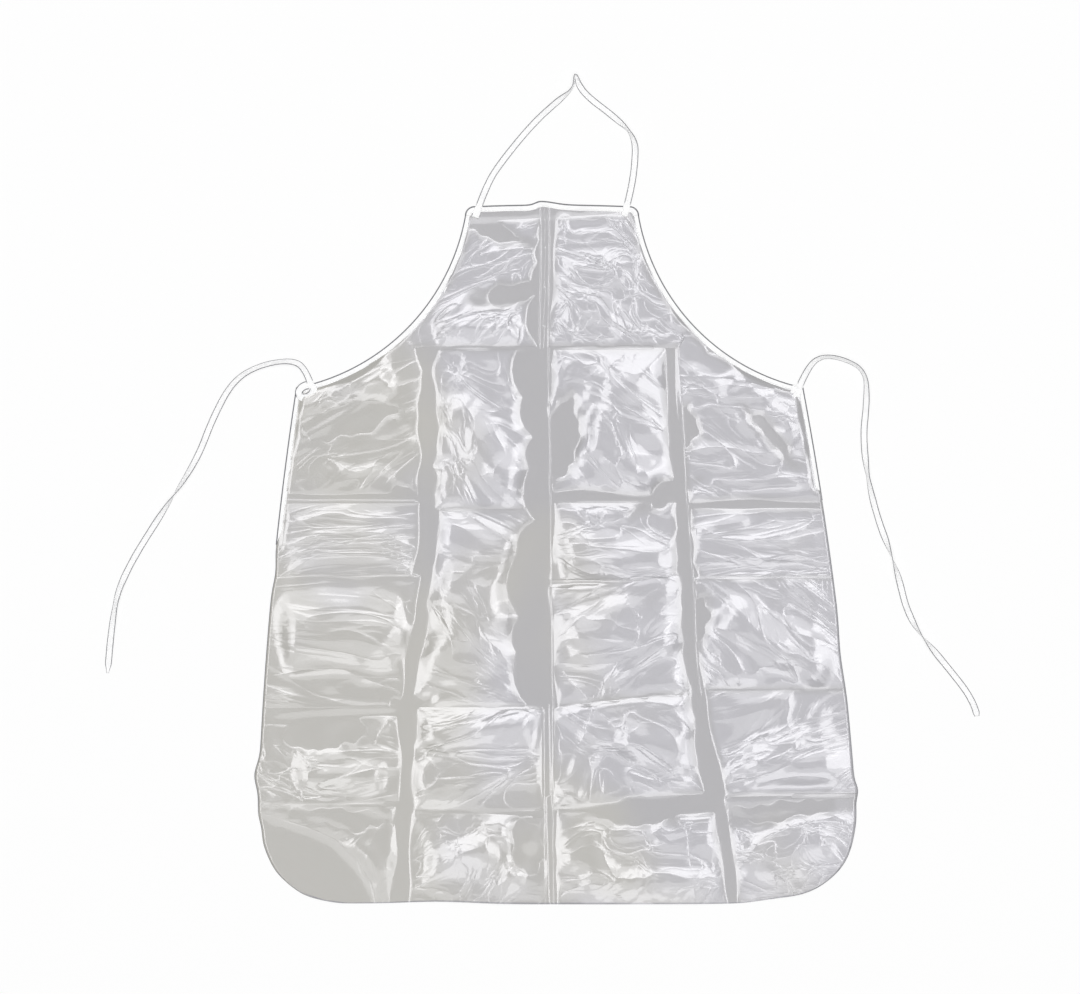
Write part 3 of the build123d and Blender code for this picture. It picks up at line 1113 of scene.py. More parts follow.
RIDGES: tuple[Ridge, ...] = (
    Ridge(((-280, -330), (-240, -318), (-203, -300)), 1.2, 5),
    Ridge(((-404, -528), (-298, -494), (-212, -526)), 1.3, 6),
    Ridge(((-108, -70), (-60, -62), (-20, -66)), 0.8, 3.5),
    Ridge(((-34, -74), (-20, -122)), 0.8, 3.5),
    Ridge(((-172, -196), (-120, -150), (-85, -138)), 0.8, 4),
    Ridge(((-105, -200), (-60, -165)), 0.8, 4),
    Ridge(((8, -46), (40, -58), (82, -48)), 0.8, 3.5),
    Ridge(((45, -165), (28, -198)), 0.8, 4),
    Ridge(((-330, -380), (-290, -400), (-260, -385), (-225, -420), (-205, -410)), 1.4, 5),
    Ridge(((200, -372), (250, -360), (310, -376), (388, -360)), 1.2, 5),
    Ridge(((-408, -512), (-298, -478), (-208, -507)), 1.9, 8),
    Ridge(((-408, -548), (-298, -510), (-208, -545)), 1.9, 8),
    Ridge(((-400, -470), (-330, -458), (-225, -472)), 1.5, 7),
    Ridge(((-110, -465), (-70, -500), (-30, -525)), 1.0, 4.5),
    Ridge(((-60, -462), (-22, -490)), 0.9, 4),
    Ridge(((214, -480), (300, -508), (411, -486)), 1.4, 6),
    Ridge(((222, -535), (300, -524), (411, -540)), 1.1, 5),
    Ridge(((-412, -700), (-320, -690), (-224, -730)), 1.2, 5),
    Ridge(((62, -753), (20, -700)), 1.1, 4.5),
    Ridge(((62, -753), (95, -690)), 1.1, 4.5),
    Ridge(((62, -753), (110, -790)), 1.1, 4.5),
    Ridge(((62, -753), (40, -800)), 1.0, 4.5),
    Ridge(((320, -605), (380, -640), (428, -660)), 1.1, 6),
    Ridge(((-235, -750), (-262, -800)), 1.1, 4.5),
    Ridge(((-180, -814), (-100, -820), (-40, -824)), 1.1, 4.5),
    Ridge(((266, -815), (310, -800), (365, -772)), 1.3, 5),
    Ridge(((36, -908), (93, -927), (140, -945), (182, -918), (243, -922)), 1.5, 5),
    Ridge(((205, -935), (215, -1035)), 1.1, 4.5),
    Ridge(((280, -993), (318, -945), (388, -922), (457, -903)), 1.4, 5),
)


@dataclass(frozen=True)
class Survey:
    """What the relief is at each point."""

    height: Array               # mm
    inside: Array               # mm inside a pillow's edge
    line: Array                 # mm from the nearest sharp line, positive on its left
    along: Array                # place along and across the grain, in drapes
    across: Array
    crest: Array                # the two fields of crests
    other_crest: Array
    sharpness: Array            # how ridged the panel is


@dataclass(frozen=True)
class Relief:
    """Height of the film over the surface that it lies on, in mm."""

    base: float = 0.4           # lower face of the film where it lies flat
    ceiling: float = 10.5       # what the height nears and never reaches
    steepest: float = 0.17      # slope at which the facets climb from a pillow's edge, at most
    soft: float = 0.5           # height over which one limit eases into the next
    ridge_rise: float = 14.0    # from a pillow's edge to where its ridges have their full height
    wander: float = 9.0         # by which the ridges are pushed out of their regular shapes
    wander_size: float = 55.0

    def survey(self, x: Array, y: Array) -> Survey:
        """Work out the relief: pillows and their ridges inside the panels, creases between them.

        Args:
            x, y: place on the pattern, in mm.

        Returns:
            What the relief is at each point.
        """
        size = self.wander_size
        aside = x + self.wander * lattice_noise(x / size + 4, y / size + 4, 22)
        along = y + self.wander * lattice_noise(x / size + 50, y / size + 20, 23)
        away, beside = (
            np.min([patch.outside(aside, along) for patch in CLINGS if patch.lobe is lobe], axis=0)
            for lobe in (False, True))
        height, inside, flow = self.pillows(x, y, away, beside)
        inside = np.minimum(inside, away)
        lean, most = total_lift(FACETS, aside, along), self.steepest * np.maximum(inside, 0)
        height += 0.5 * (lean + most - np.hypot(lean - most, self.soft)) + self.soft / 2
        height += total_lift(RIDGES, aside, along) * smoothstep(0, self.ridge_rise, inside)
        height += total_lift(CREASES, x, y)
        above = 0.5 * (height + np.hypot(height, self.soft))
        line = self.nearest_line(x, y, aside, along, inside)
        return Survey(self.ceiling * np.tanh(above / self.ceiling), inside, line, *flow)

    def pillows(self, x: Array, y: Array, away: Array, beside: Array) -> tuple[Array, Array, list[Array]]:
        """Lay the panels' pillows; where two lap, the one whose edge is further away gives the grain.

        Args:
            x, y: place on the pattern, in mm.
            away: distance outside the patches that lie flat in a pillow, in mm.
            beside: the same for the lobes, which also move the pillows' edges.

        Returns:
            The height, the distance inside a pillow's edge, and the flow: both places in the
            grain, both fields of crests, and how ridged the panel is.
        """
        height, inside = np.zeros(x.shape), np.full(x.shape, -30.0)
        flow = [np.zeros(x.shape) for _ in range(5)]
        for panel in PANELS:
            xs = [place for place, _ in panel.left + panel.right]
            low, high = panel.span(x)
            near = (x > min(xs)) & (x < max(xs)) & (y > low) & (y < high)
            reach = np.minimum(panel.inside(x[near], y[near]), beside[near])
            height[near] += panel.lift(x[near], y[near], reach, away[near])
            mine = reach > inside[near]
            inside[near] = np.maximum(inside[near], reach)
            u, v = panel.flow(x[near], y[near])
            for values, found in zip(flow, (u, v, *panel.crests(u, v), panel.ridged)):
                values[near] = np.where(mine, found, values[near])
        return height, inside, flow

    def nearest_line(self, x: Array, y: Array, aside: Array, along: Array, inside: Array) -> Array:
        """Signed distance from the nearest sharp line, beside a fold or along a ridge in a pillow.

        The lines beside folds wander a fifth as far as the ridges do.

        Args:
            x, y: place on the pattern, in mm.
            aside, along: where x and y have wandered to.
            inside: distance inside a pillow's edge, in mm.

        Returns:
            The distance, in mm.
        """
        nearly, closely = x + 0.2 * (aside - x), y + 0.2 * (along - y)
        folds = (along_path(path, nearly, closely)[0] for path in FOLD_LINES)
        ridges = (np.where(inside > 4, along_path(eased(mark.path), aside, along)[0], FAR)
                  for mark in RIDGES)
        line = np.full(x.shape, FAR)
        for gap in (*folds, *ridges):
            line = np.where(np.abs(gap) < np.abs(line), gap, line)
        return line


def total_lift(marks: tuple[Mark, ...], x: Array, y: Array) -> Array:
    """Sum of what marks add at each point, each worked out only where it reaches.

    Args:
        marks: the marks.
        x, y: place on the pattern, in mm.

    Returns:
        The height, in mm.
    """
    total = np.zeros(x.shape)
    for mark in marks:
        x0, x1, y0, y1 = mark.box()
        near = (x > x0) & (x < x1) & (y > y0) & (y < y1)
        total[near] += mark.lift(x[near], y[near])
    return total


# ---- Film


@dataclass(frozen=True)
class Bulge:
    """Stretch of a free edge that stands out a little, or in: out exp(-(d / spread)^2)."""

    place: float                # mm: y on a side, x on the hem
    out: float                  # mm
    spread: float

    def at(self, along: Array) -> Array:
        """How far the edge stands out at each place along it, in mm."""
        return self.out * np.exp(-((along - self.place) / self.spread) ** 2)


@dataclass
class Film:
    """Sheet of film: a grid between the two flanks, lifted by its relief and closed below."""

    pattern: Pattern
    relief: Relief
    columns: int = 184
    rows: tuple[int, int, int] = (86, 150, 34)  # of the armhole, the side and the rounded corner
    thickness: float = 0.3      # mm
    free_lift: float = 0.35     # share of the relief that is left at a free edge
    free_width: float = 45.0    # mm from a free edge to where all of it is left
    held_slope: float = 0.6     # slope at which the film climbs away from a binding, at most
    held_width: float = 7.4     # mm from a bound edge that the binding holds flat
    plain_width: float = 9.0    # mm from a bound edge that has no fine creases
    crown_reach: float = 60.0   # mm over which the crowns of bib and hem fade out
    left_bulges: tuple[Bulge, ...] = (Bulge(-548, -3.0, 24), Bulge(-852, 7.0, 22), Bulge(-932, -3.5, 18),
                                      Bulge(-1000, 4.0, 24))
    right_bulges: tuple[Bulge, ...] = (Bulge(-672, -3.0, 45), Bulge(-875, 4.5, 14), Bulge(-990, 4.5, 34))
    hem_bulges: tuple[Bulge, ...] = (Bulge(-378, 4.5, 26), Bulge(-170, -3.5, 70), Bulge(342, -7.0, 42))

    def edge_line(self, side: int) -> Array:
        """Points down one flank, one for each row of the grid, with the bib's corner rounded.

        Args:
            side: which flank.

        Returns:
            The points, one a row, in mm.
        """
        line = self.pattern.edge(side, self.rows)
        reach = self.pattern.bib_corner
        depth = np.clip(-line[:, 1], 0, reach)
        line[:, 0] -= side * (reach - np.sqrt(reach ** 2 - (reach - depth) ** 2))
        return line

    def grid(self) -> tuple[Array, Array, Array, Array]:
        """Lay out the grid.

        Rows are straight from flank to flank; near the bib's top and the hem they bow into the
        crown, a parabola, which fades out away from the edge.

        Returns:
            The points' x and y, their distance from a bound edge, and from a free one, in mm.
        """
        left, right = self.edge_line(-1), self.edge_line(1)
        u = np.linspace(0, 1, self.columns)[None, :]
        x = left[:, :1] * (1 - u) + right[:, :1] * u
        y = left[:, 1:] * (1 - u) + right[:, 1:] * u
        bow, reach = 1 - (2 * u - 1) ** 2, self.crown_reach
        hem_bow = self.pattern.hem_crown * (np.ptp(x[-1]) / self.pattern.hem_width) ** 2
        y = (y + (self.pattern.bib_crown * bow + self.pattern.bib_peak(x)) * (1 - smoothstep(0, reach, -y))
             - hem_bow * bow * (1 - smoothstep(0, reach, y - y[-1].mean())))
        ends = [-self.pattern.armhole_depth - self.pattern.bound(side) for side in (-1, 1)]
        bound_edge = np.vstack([left[left[:, 1] > ends[0]][::-6], right[right[:, 1] > ends[1]][::6]])
        free_edge = np.vstack([left[left[:, 1] < ends[0]][::6], left[-1:], right[-1:],
                               right[right[:, 1] < ends[1]][::-6]])
        return x, y, *(np.abs(along_path(edge, x, y)[0]) for edge in (bound_edge, free_edge))

    def uneven(self, x: Array, y: Array) -> tuple[Array, Array]:
        """The grid with its free edges let out or drawn in, less and less away from them.

        Args:
            x, y: place on the pattern, in mm.

        Returns:
            The new x and y.
        """
        across = np.linspace(0, 1, self.columns)[None, :]
        left, right, hem = (sum(bulge.at(along) for bulge in bulges) for bulges, along in (
            (self.left_bulges, y), (self.right_bulges, y), (self.hem_bulges, x)))
        fall = np.exp((y[-1] - y) / self.crown_reach)
        return x - left * (1 - across) ** 6 + right * across ** 6, y - hem * fall

    def build(self, finishes: Finishes) -> Piece:
        """Build the film: the lifted grid, a copy of it one thickness up, and the cut edge.

        Args:
            finishes: the apron's materials.

        Returns:
            The new piece.
        """
        x, y, bound, free = self.grid()
        loose = self.free_lift + (1 - self.free_lift) * smoothstep(0, self.free_width, free)
        survey = self.relief.survey(x, y)
        held = self.held_slope * np.maximum(bound - self.held_width, 0)
        lower = self.relief.base + np.minimum(survey.height * loose, held)
        rows, columns = x.shape
        plan = self.uneven(x, y)
        points = [self.pattern.to_frame(*plan, z).reshape(-1, 3) for z in (lower, lower + self.thickness)]
        count = rows * columns
        number = np.arange(count).reshape(rows, columns)
        ring = np.concatenate([number[0, :-1], number[:-1, -1], number[-1, :0:-1], number[:0:-1, 0]])
        after = np.roll(ring, -1)
        quads = grid_faces(rows, columns)
        edge = np.stack([ring, ring + count, after + count, after], -1)
        faces = np.vstack([quads, quads[:, ::-1] + count, edge])
        piece = make_piece("film", np.vstack(points), faces.tolist(), finishes.film)
        inside = np.minimum(survey.inside, bound - self.plain_width)
        for name, values in (
            ("cut", (np.maximum(free, 0) * MM, inside * MM, np.abs(survey.line) * MM)),
            ("flow", (survey.along, survey.across, survey.line * MM)),
            ("crest", (survey.crest, survey.other_crest, survey.sharpness)),
        ):
            marks = np.stack(values, -1).reshape(-1, 3)
            set_attribute(piece, name, np.vstack([marks, marks]))
        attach(piece, "apron")
        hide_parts("film_panel")
        return piece

    def flat_area(self) -> float:
        """Area of the flat cut, by the shoelace formula on its outline.

        Returns:
            The area, in square metres.
        """
        left, right = self.edge_line(-1), self.edge_line(1)
        x, y = np.vstack([left, right[::-1]]).T
        return abs(np.dot(x, np.roll(y, -1)) - np.dot(y, np.roll(x, -1))) / 2 * MM * MM


# ---- Tape, thread and what is made of them


@dataclass
class Track:
    """Line that tape is carried along: points with the ways that are along, aside and up."""

    points: Array
    along: Array
    aside: Array
    up: Array

    @staticmethod
    def flat(points: Array) -> "Track":
        """Track over a line of points, aside lying level and to the left.

        Args:
            points: points of the line, in the frame.

        Returns:
            The track.
        """
        step = np.gradient(points, axis=0)
        along = step / np.linalg.norm(step, axis=1, keepdims=True)
        aside = np.stack([-along[:, 1], along[:, 0], 0 * along[:, 0]], -1)
        aside /= np.linalg.norm(aside, axis=1, keepdims=True)
        return Track(points, along, aside, np.cross(along, aside))

    @property
    def lengths(self) -> Array:
        """Length from the start to each point."""
        return running_length(self.points)

    def turned(self, angles: Array) -> "Track":
        """The same line with aside and up turned about it.

        Args:
            angles: the turn at each point, in degrees.

        Returns:
            The new track.
        """
        turn = np.radians(angles)[:, None]
        aside = self.aside * np.cos(turn) + self.up * np.sin(turn)
        up = self.up * np.cos(turn) - self.aside * np.sin(turn)
        return Track(self.points, self.along, aside, up)

    def at(self, places: Array) -> "Track":
        """Track at other lengths from the start, each way worked out between its neighbours.

        Args:
            places: the lengths, in metres.

        Returns:
            The new track.
        """
        own = self.lengths
        parts = (self.points, self.along, self.aside, self.up)
        return Track(*(read_at(places, own, part) for part in parts))

    def carry(self, across: Array, height: Array) -> Array:
        """Profile points carried along the track: point + across aside + height up.

        Args:
            across, height: distance aside and up, n by m, in metres.

        Returns:
            The points, n by m by 3.
        """
        return (self.points[:, None] + across[..., None] * self.aside[:, None]
                + height[..., None] * self.up[:, None])


@dataclass
class Shape:
    """Points and faces of one piece, gathered part by part."""

    points: list[Array] = field(default_factory=list)
    marks: list[Array] = field(default_factory=list)
    faces: list[list[int]] = field(default_factory=list)
    slots: list[int] = field(default_factory=list)

    def add(self, points: Array, faces: list, marks: Array | None = None, slot: int = 0) -> None:
        """Add one part.

        Args:
            points: its points, in metres.
            faces: point numbers of each face, counted from the part's own first point.
            marks: along and across of the flat tape at each point, in metres, and the share sewn down.
            slot: material slot of its faces.
        """
        first = sum(len(part) for part in self.points)
        points = points.reshape(-1, 3)
        self.points.append(points)
        self.marks.append(np.zeros_like(points) if marks is None else marks.reshape(-1, 3))
        self.faces += [[number + first for number in face] for face in faces]
        self.slots += [slot] * len(faces)

    def sweep(self, track: Track, across: Array, height: Array, cut: Array, sewn: Array | float = 0.0,
              slide: Array | float = 0.0) -> None:
        """Add a closed profile carried along a track, with its two ends closed.

        Args:
            track: the line, with n points.
            across, height: distance aside and up of each profile point, n by m, in metres.
            cut: across of the flat tape at each profile point, likewise.
            sewn: share by which the tape is sewn down, at each point of the track.
            slide: how far each profile point is slid along the track, likewise.
        """
        n, m = across.shape
        slid = np.broadcast_to(slide, (n, m))[..., None] * track.along[:, None]
        held = np.broadcast_to(sewn, n)[:, None] + 0 * cut
        marks = np.stack([np.broadcast_to(track.lengths[:, None], (n, m)), cut, held], -1)
        faces = grid_faces(n, m, closed=True).tolist()
        faces += [list(range(m))[::-1], list(range((n - 1) * m, n * m))]
        self.add(track.carry(across, height) + slid, faces, marks)

    def stitches(self, track: Track, across: float, height: float, pitch: float,
                 start: float = 0.0, end: float | None = None, gauge: float = 0.4) -> None:
        """Add a row of lockstitches: short threads whose ends dive into the tape.

        Args:
            track: the line that the tape follows.
            across: the row's distance aside, in metres.
            height: up to the tape's face, in metres; negative is the other face.
            pitch: from one stitch to the next, in mm.
            start, end: where the row begins and ends, along the track, in metres.
            gauge: thickness of the thread, in mm.
        """
        stop = track.lengths[-1] if end is None else end
        middles = np.arange(start + pitch * MM, stop - 0.6 * pitch * MM, pitch * MM)
        if not len(middles):
            return
        # Rings of one stitch: place in half its length, rise and radius, both in thread widths.
        places = np.array([-1.0, -0.72, 0.0, 0.72, 1.0])
        rises = np.array([-0.5, 0.28, 0.42, 0.28, -0.5])
        widths = np.array([0.5, 0.9, 1.0, 0.9, 0.5])
        rings, sides = len(places), 6
        angle = np.linspace(0, 2 * np.pi, sides, endpoint=False)
        upward = math.copysign(1.0, height)
        local = track.at((middles[:, None] + places * (0.42 * pitch * MM)).ravel())
        radius = gauge * MM / 2 * np.tile(widths, len(middles))[:, None]
        rise = height + upward * gauge * MM * np.tile(rises, len(middles))[:, None]
        points = local.carry(across + radius * np.cos(angle), rise + upward * radius * np.sin(angle))
        faces = grid_faces(rings, sides, closed=True).tolist()
        faces += [list(range(sides))[::-1], list(range((rings - 1) * sides, rings * sides))]
        if upward < 0:
            faces = [face[::-1] for face in faces]
        each = range(0, rings * sides * len(middles), rings * sides)
        self.add(points, [[number + first for number in face] for first in each for face in faces], slot=1)

    def make(self, name: str, *finishes: Material) -> Piece:
        """Make the piece.

        Args:
            name: its name.
            finishes: its materials, in slot order: tape, then thread.

        Returns:
            The new piece.
        """
        piece = make_piece(name, np.vstack(self.points), self.faces, *finishes)
        piece.data.polygons.foreach_set("material_index", self.slots)
        set_attribute(piece, "cut", np.vstack(self.marks))
        return piece


@dataclass
class Binding:
    """Tape folded over a cut edge and stitched down: a U of two leaves, puffed beside its fold."""

    name: str
    node: str
    line: Array                 # cut edge, in mm of the pattern, film on its right-hand side
    width: float = 8.5          # mm, reach of each leaf in from the edge
    thickness: float = 0.4      # mm
    top: float = 1.1            # mm, upper face of the upper leaf
    fold: float = 0.6           # mm, from the cut edge to the outside of the fold
    puff: float = 0.3           # mm
    seam: float = 0.78          # share of the width at which the stitches run
    sink: float = 0.16          # mm, by which they draw the tape in
    pucker: float = 0.22        # mm, along the tape
    pitch: float = 3.2          # mm between stitches
    start_mitre: float = 0.0    # degrees
    end_mitre: float = 0.0
    mitre_reach: float = 14.0   # mm from an end that is slanted
    start_taper: float = 0.0    # mm, length over which the tape narrows to a point
    end_taper: float = 0.0
    flare: Line = ((0.0, 0.0), (1.0, 0.0))  # share of length, mm wider
    spread: float = 0.0         # mm, how much larger than its neighbour, where it laps over
    seed: int = 5

    def profile(self, depth: Array, ripple: Array) -> tuple[Array, Array, Array]:
        """Closed U profile at each point of the line.

        It runs in along the lower face of the lower leaf, and out and in between the leaves, round
        the hollow of the fold, then out along the upper face and round the outside of the fold.

        Args:
            depth: reach of the leaves at each point, in mm.
            ripple: height of the puckers at each point, in mm.

        Returns:
            Distance in from the edge, height, and across of the flat tape, in mm.
        """
        shares = np.array([1.0, 0.93, 0.84, 0.78, 0.72, 0.6, 0.45, 0.3, 0.16, 0.07])
        depth = depth[:, None]
        swell = self.puff * np.sin(np.pi * np.clip(shares / self.seam, 0, 1)) ** 0.8
        drawn = -self.sink * np.exp(-((shares - self.seam) / 0.045) ** 2)
        middle, every = self.top / 2, 0 * depth
        gap = middle - self.thickness
        bend = np.linspace(0.5 * np.pi, 1.5 * np.pi, 7)
        upper_in = depth * shares
        upper_z = self.top + self.spread + swell + drawn + ripple[:, None] * np.sin(np.pi * shares) + every
        fold_in = (self.fold + self.spread) * np.cos(bend) + every
        fold_z = np.maximum(middle + (middle + self.spread) * np.sin(bend) + every, 0.0)
        lower_in = depth * shares[::-1]
        inner_in = depth * shares[[0, 3, 6, 9]]
        hollow_in = 0.3 * self.fold * np.cos(bend[1:-1]) + every
        hollow_z = middle + gap * np.sin(bend[1:-1]) + every
        into = np.hstack([upper_in, fold_in, lower_in, inner_in, hollow_in[:, ::-1], inner_in[:, ::-1]])
        height = np.hstack([upper_z, fold_z, 0 * lower_in, 0 * inner_in + self.thickness, hollow_z[:, ::-1],
                            0 * inner_in + middle + gap + min(self.spread, 0.1)])
        # Across the flat tape, which puts the painted edge shade at the outside of the fold.
        cut = np.maximum(BINDING_HALF - np.maximum(into, 0), 0)
        return into[:, ::-1], height[:, ::-1], cut[:, ::-1]

    def build(self, pattern: Pattern, finishes: Finishes) -> Piece:
        """Build the binding and its row of stitches.

        Args:
            pattern: the film's pattern.
            finishes: the apron's materials.

        Returns:
            The new piece.
        """
        track = Track.flat(pattern.to_frame(self.line[:, 0], self.line[:, 1], 0.0))
        place = track.lengths / MM
        total = place[-1]
        left = total - place
        depth = self.width + np.interp(place / total, *zip(*self.flare))
        depth = depth + 0.35 * line_noise(place / 23, 0.4, self.seed)
        for taper, away in ((self.start_taper, place), (self.end_taper, left)):
            if taper:
                depth = depth * np.clip(away / taper, 0.04, 1)
        into, height, cut = self.profile(depth, self.pucker * line_noise(place / 7, 2.4, self.seed + 1))
        slants = [(1 - smoothstep(0, self.mitre_reach, away)) * math.tan(math.radians(mitre))
                  for mitre, away in ((self.start_mitre, place), (self.end_mitre, left))]
        slide = np.maximum(into, 0) * (slants[0] - slants[1])[:, None]
        shape = Shape()
        shape.sweep(track, -into * MM, height * MM, cut * MM, slide=slide * MM)
        shape.stitches(track, -self.seam * self.width * MM, (self.top + self.spread - 0.05) * MM, self.pitch,
                       start=(0.6 * self.start_taper + 3) * MM, end=(total - 0.6 * self.end_taper - 3) * MM,
                       gauge=0.5)
        piece = shape.make(self.name, finishes.binding, finishes.thread)
        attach(piece, "apron")
        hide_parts(self.node)
        return piece


class Lay(Enum):
    """What a tape lies on, as the height of its middle, in metres."""

    OVER = 0.0019               # its own sewn end, or the binding
    FLOOR = 0.0007


@dataclass
class Ribbon:
    """Loose tape, folded double and stitched along both edges, lying where it was dropped."""

    name: str
    route: Line                 # metres, in the frame
    twists: Line                # share of the length, degrees turned about its line
    nodes: tuple[str, ...]
    body: str
    blend: tuple[Point, Point]
    far_end: str
    landed: Point = (0.012, 0.035)  # metres from the start between which it comes down
    sewn: float = 0.010         # metres from its end over which it is sewn down
    both_sewn: bool = False     # whether its far end is sewn down too
    tip: float = 1.0            # share of the width left at its far end
    tip_length: float = 0.016
    width: float = 2 * STRAP_HALF * MM
    thickness: float = 0.0008
    seam: float = 0.68          # share of the half width at which each row of stitches runs
    pitch: float = 3.4          # mm between stitches
    step: float = 0.002
    seed: int = 11

    def spline_line(self) -> Array:
        """Read points from the route's smooth line, a NURBS spline, at even steps.

        Returns:
            The points, one a row, in metres.
        """
        curve = bpy.data.curves.new(self.name + "_route", "CURVE")
        curve.dimensions = "3D"
        curve.resolution_u = 24
        spline = curve.splines.new("NURBS")
        spline.points.add(len(self.route) - 1)
        for point, (x, y) in zip(spline.points, self.route):
            point.co = (x, y, 0.0, 1.0)
        spline.order_u = 3
        spline.use_endpoint_u = True
        carrier = bpy.data.objects.new(curve.name, curve)
        mesh = bpy.data.meshes.new_from_object(carrier)
        line = np.zeros(3 * len(mesh.vertices))
        mesh.vertices.foreach_get("co", line)
        bpy.data.objects.remove(carrier)
        bpy.data.meshes.remove(mesh)
        bpy.data.curves.remove(curve)
        return even_line(line.reshape(-1, 3), self.step, rounding=0.0)

    def from_ends(self, place: Array, near: float, far: float) -> Array:
        """Share by which the tape has left its sewn end, or the nearer of two.

        Args:
            place: length from the start to each point, in metres.
            near, far: lengths from a sewn end between which it leaves.

        Returns:
            The share, 0 to 1, at each point.
        """
        share = smoothstep(near, far, place)
        return np.minimum(share, smoothstep(near, far, place[-1] - place)) if self.both_sewn else share

    def track(self) -> Track:
        """Line of the tape's middle: turned by its twists, and raised so that no edge goes below.

        Returns:
            The track.
        """
        line = self.spline_line()
        lengths = running_length(line)
        angles = np.interp(lengths / lengths[-1], *zip(*self.twists))
        ease = np.exp(-0.5 * np.linspace(-2, 2, 9) ** 2)
        angles = np.convolve(np.pad(angles, 4, mode="edge"), ease / ease.sum(), mode="valid")
        down = self.from_ends(lengths, *self.landed)
        rest = Lay.OVER.value * (1 - down) + Lay.FLOOR.value * down
        line[:, 2] = rest + np.abs(np.sin(np.radians(angles))) * (self.width / 2 - 0.0002)
        return Track.flat(line).turned(angles)

    def build(self, finishes: Finishes) -> Piece:
        """Build the tape and its stitches, and log its length.

        Args:
            finishes: the apron's materials.

        Returns:
            The new piece.
        """
        track = self.track()
        place = track.lengths
        total = place[-1]
        half = self.width / 2 + 0.00025 * line_noise(place / 0.017, 0.3, self.seed)
        half = half * (self.tip + (1 - self.tip) * smoothstep(0, self.tip_length, total - place))
        shares = np.array([-0.93, -0.8, -0.68, -0.55, -0.3, 0.0, 0.3, 0.55, 0.68, 0.8, 0.93])
        seam = 1 - 0.28 * np.exp(-((np.abs(shares) - self.seam) / 0.07) ** 2)
        across = np.concatenate([shares, [0.99, 1.0, 0.99], shares[::-1], [-0.99, -1.0, -0.99]])[::-1]
        face = np.concatenate([seam, [0.5, 0.0, -0.5], -seam[::-1], [-0.5, 0.0, 0.5]])[::-1]
        puff = 1 + 0.25 * line_noise(place / 0.006, 1.7, self.seed + 1)
        shape = Shape()
        # The share sewn down turns off the painted shade along the tape's edges near its sewn ends.
        shape.sweep(track, half[:, None] * across, self.thickness / 2 * puff[:, None] * face,
                    self.width / 2 * across + 0 * half[:, None],
                    sewn=1 - self.from_ends(place, self.sewn, self.sewn + 0.004))
        stop = total - self.tip_length * (self.tip < 1)
        row, rise = self.seam * self.width / 2, 0.42 * self.thickness
        for aside, height in ((-row, -rise), (-row, rise), (row, -rise), (row, rise)):
            shape.stitches(track, aside, height, self.pitch, end=stop)
        piece = shape.make(self.name, finishes.strap, finishes.thread)
        start, end = self.blend
        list(start)
        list(end)
        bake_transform(piece)
        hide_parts(*self.nodes)
        tuple(track.points[0])
        log.info("%s: %.0f mm long", self.name, total / MM)
        return piece


@dataclass
class SewnEnd:
    """Sewn end of a tie: tape laid flat on the apron and stitched."""

    exit: Point                 # metres, where the tie leaves the armhole
    place: Point                # mm, its middle from the exit
    size: Point                 # mm
    angle: float                # degrees
    low: float                  # mm, height of its lower face
    high: float                 # mm, height of its upper face

    def in_frame(self, plan: Array) -> Array:
        """Turn a plan about its middle and put it in place.

        Args:
            plan: x and y from the middle, on the last axis, in mm.

        Returns:
            x and y in the frame, in metres.
        """
        x, y = turned(plan[..., 0], plan[..., 1], self.angle)
        return np.stack([x, y], -1) * MM + np.array(self.exit) + np.array(self.place) * MM

    def disc(self, inner: Array, outer: Array, sewn: Array | float) -> Shape:
        """Lay a flat ring or disc of tape with a rounded rim: straight runs from inner to outer.

        Args:
            inner, outer: its outlines about the middle, k by 2, in mm.
            sewn: share by which its outer rim is sewn down, at each point of its outline.

        Returns:
            The ring, as the first part of a new shape.
        """
        k, lip = len(outer), 0.25
        run = np.linspace(0.04, 0.96, 9)
        shares = np.concatenate([run, [1.0, 1.0], run[::-1], [0.0, 0.0]])
        crown = self.high - lip * (1 - np.sin(np.pi * run) ** 0.5)
        rim = [self.high - 0.45, self.low + lip]
        face = np.concatenate([crown, rim, np.full(len(run), self.low), rim[::-1]])
        plan = self.in_frame(inner[:, None] + (outer - inner)[:, None] * shares[None, :, None])
        level = np.broadcast_to(face[None, :, None] * MM, (k, len(shares), 1))
        along = np.broadcast_to(np.arange(k)[:, None] * 0.7 * MM, plan.shape[:2])
        across = np.broadcast_to((2 * shares - 1) * STRAP_HALF * MM, plan.shape[:2])
        marks = np.stack([along, across, np.broadcast_to(sewn, k)[:, None] * (shares > 0.5)], -1)
        faces = grid_faces(k + 1, len(shares), closed=True) % (k * len(shares))
        shape = Shape()
        shape.add(np.concatenate([plan, level], -1), faces.tolist(), marks)
        return shape

    def seam(self, shape: Shape, plan: Array, sunk: float, pitch: float) -> None:
        """Stitch along a line.

        Args:
            shape: what the stitches are added to.
            plan: points of the line about the middle, in mm.
            sunk: how far it lies below the upper face, in mm.
            pitch: from one stitch to the next, in mm.
        """
        line = np.column_stack([self.in_frame(plan), np.zeros(len(plan))])
        shape.stitches(Track.flat(line), 0.0, (self.high - sunk) * MM, pitch)


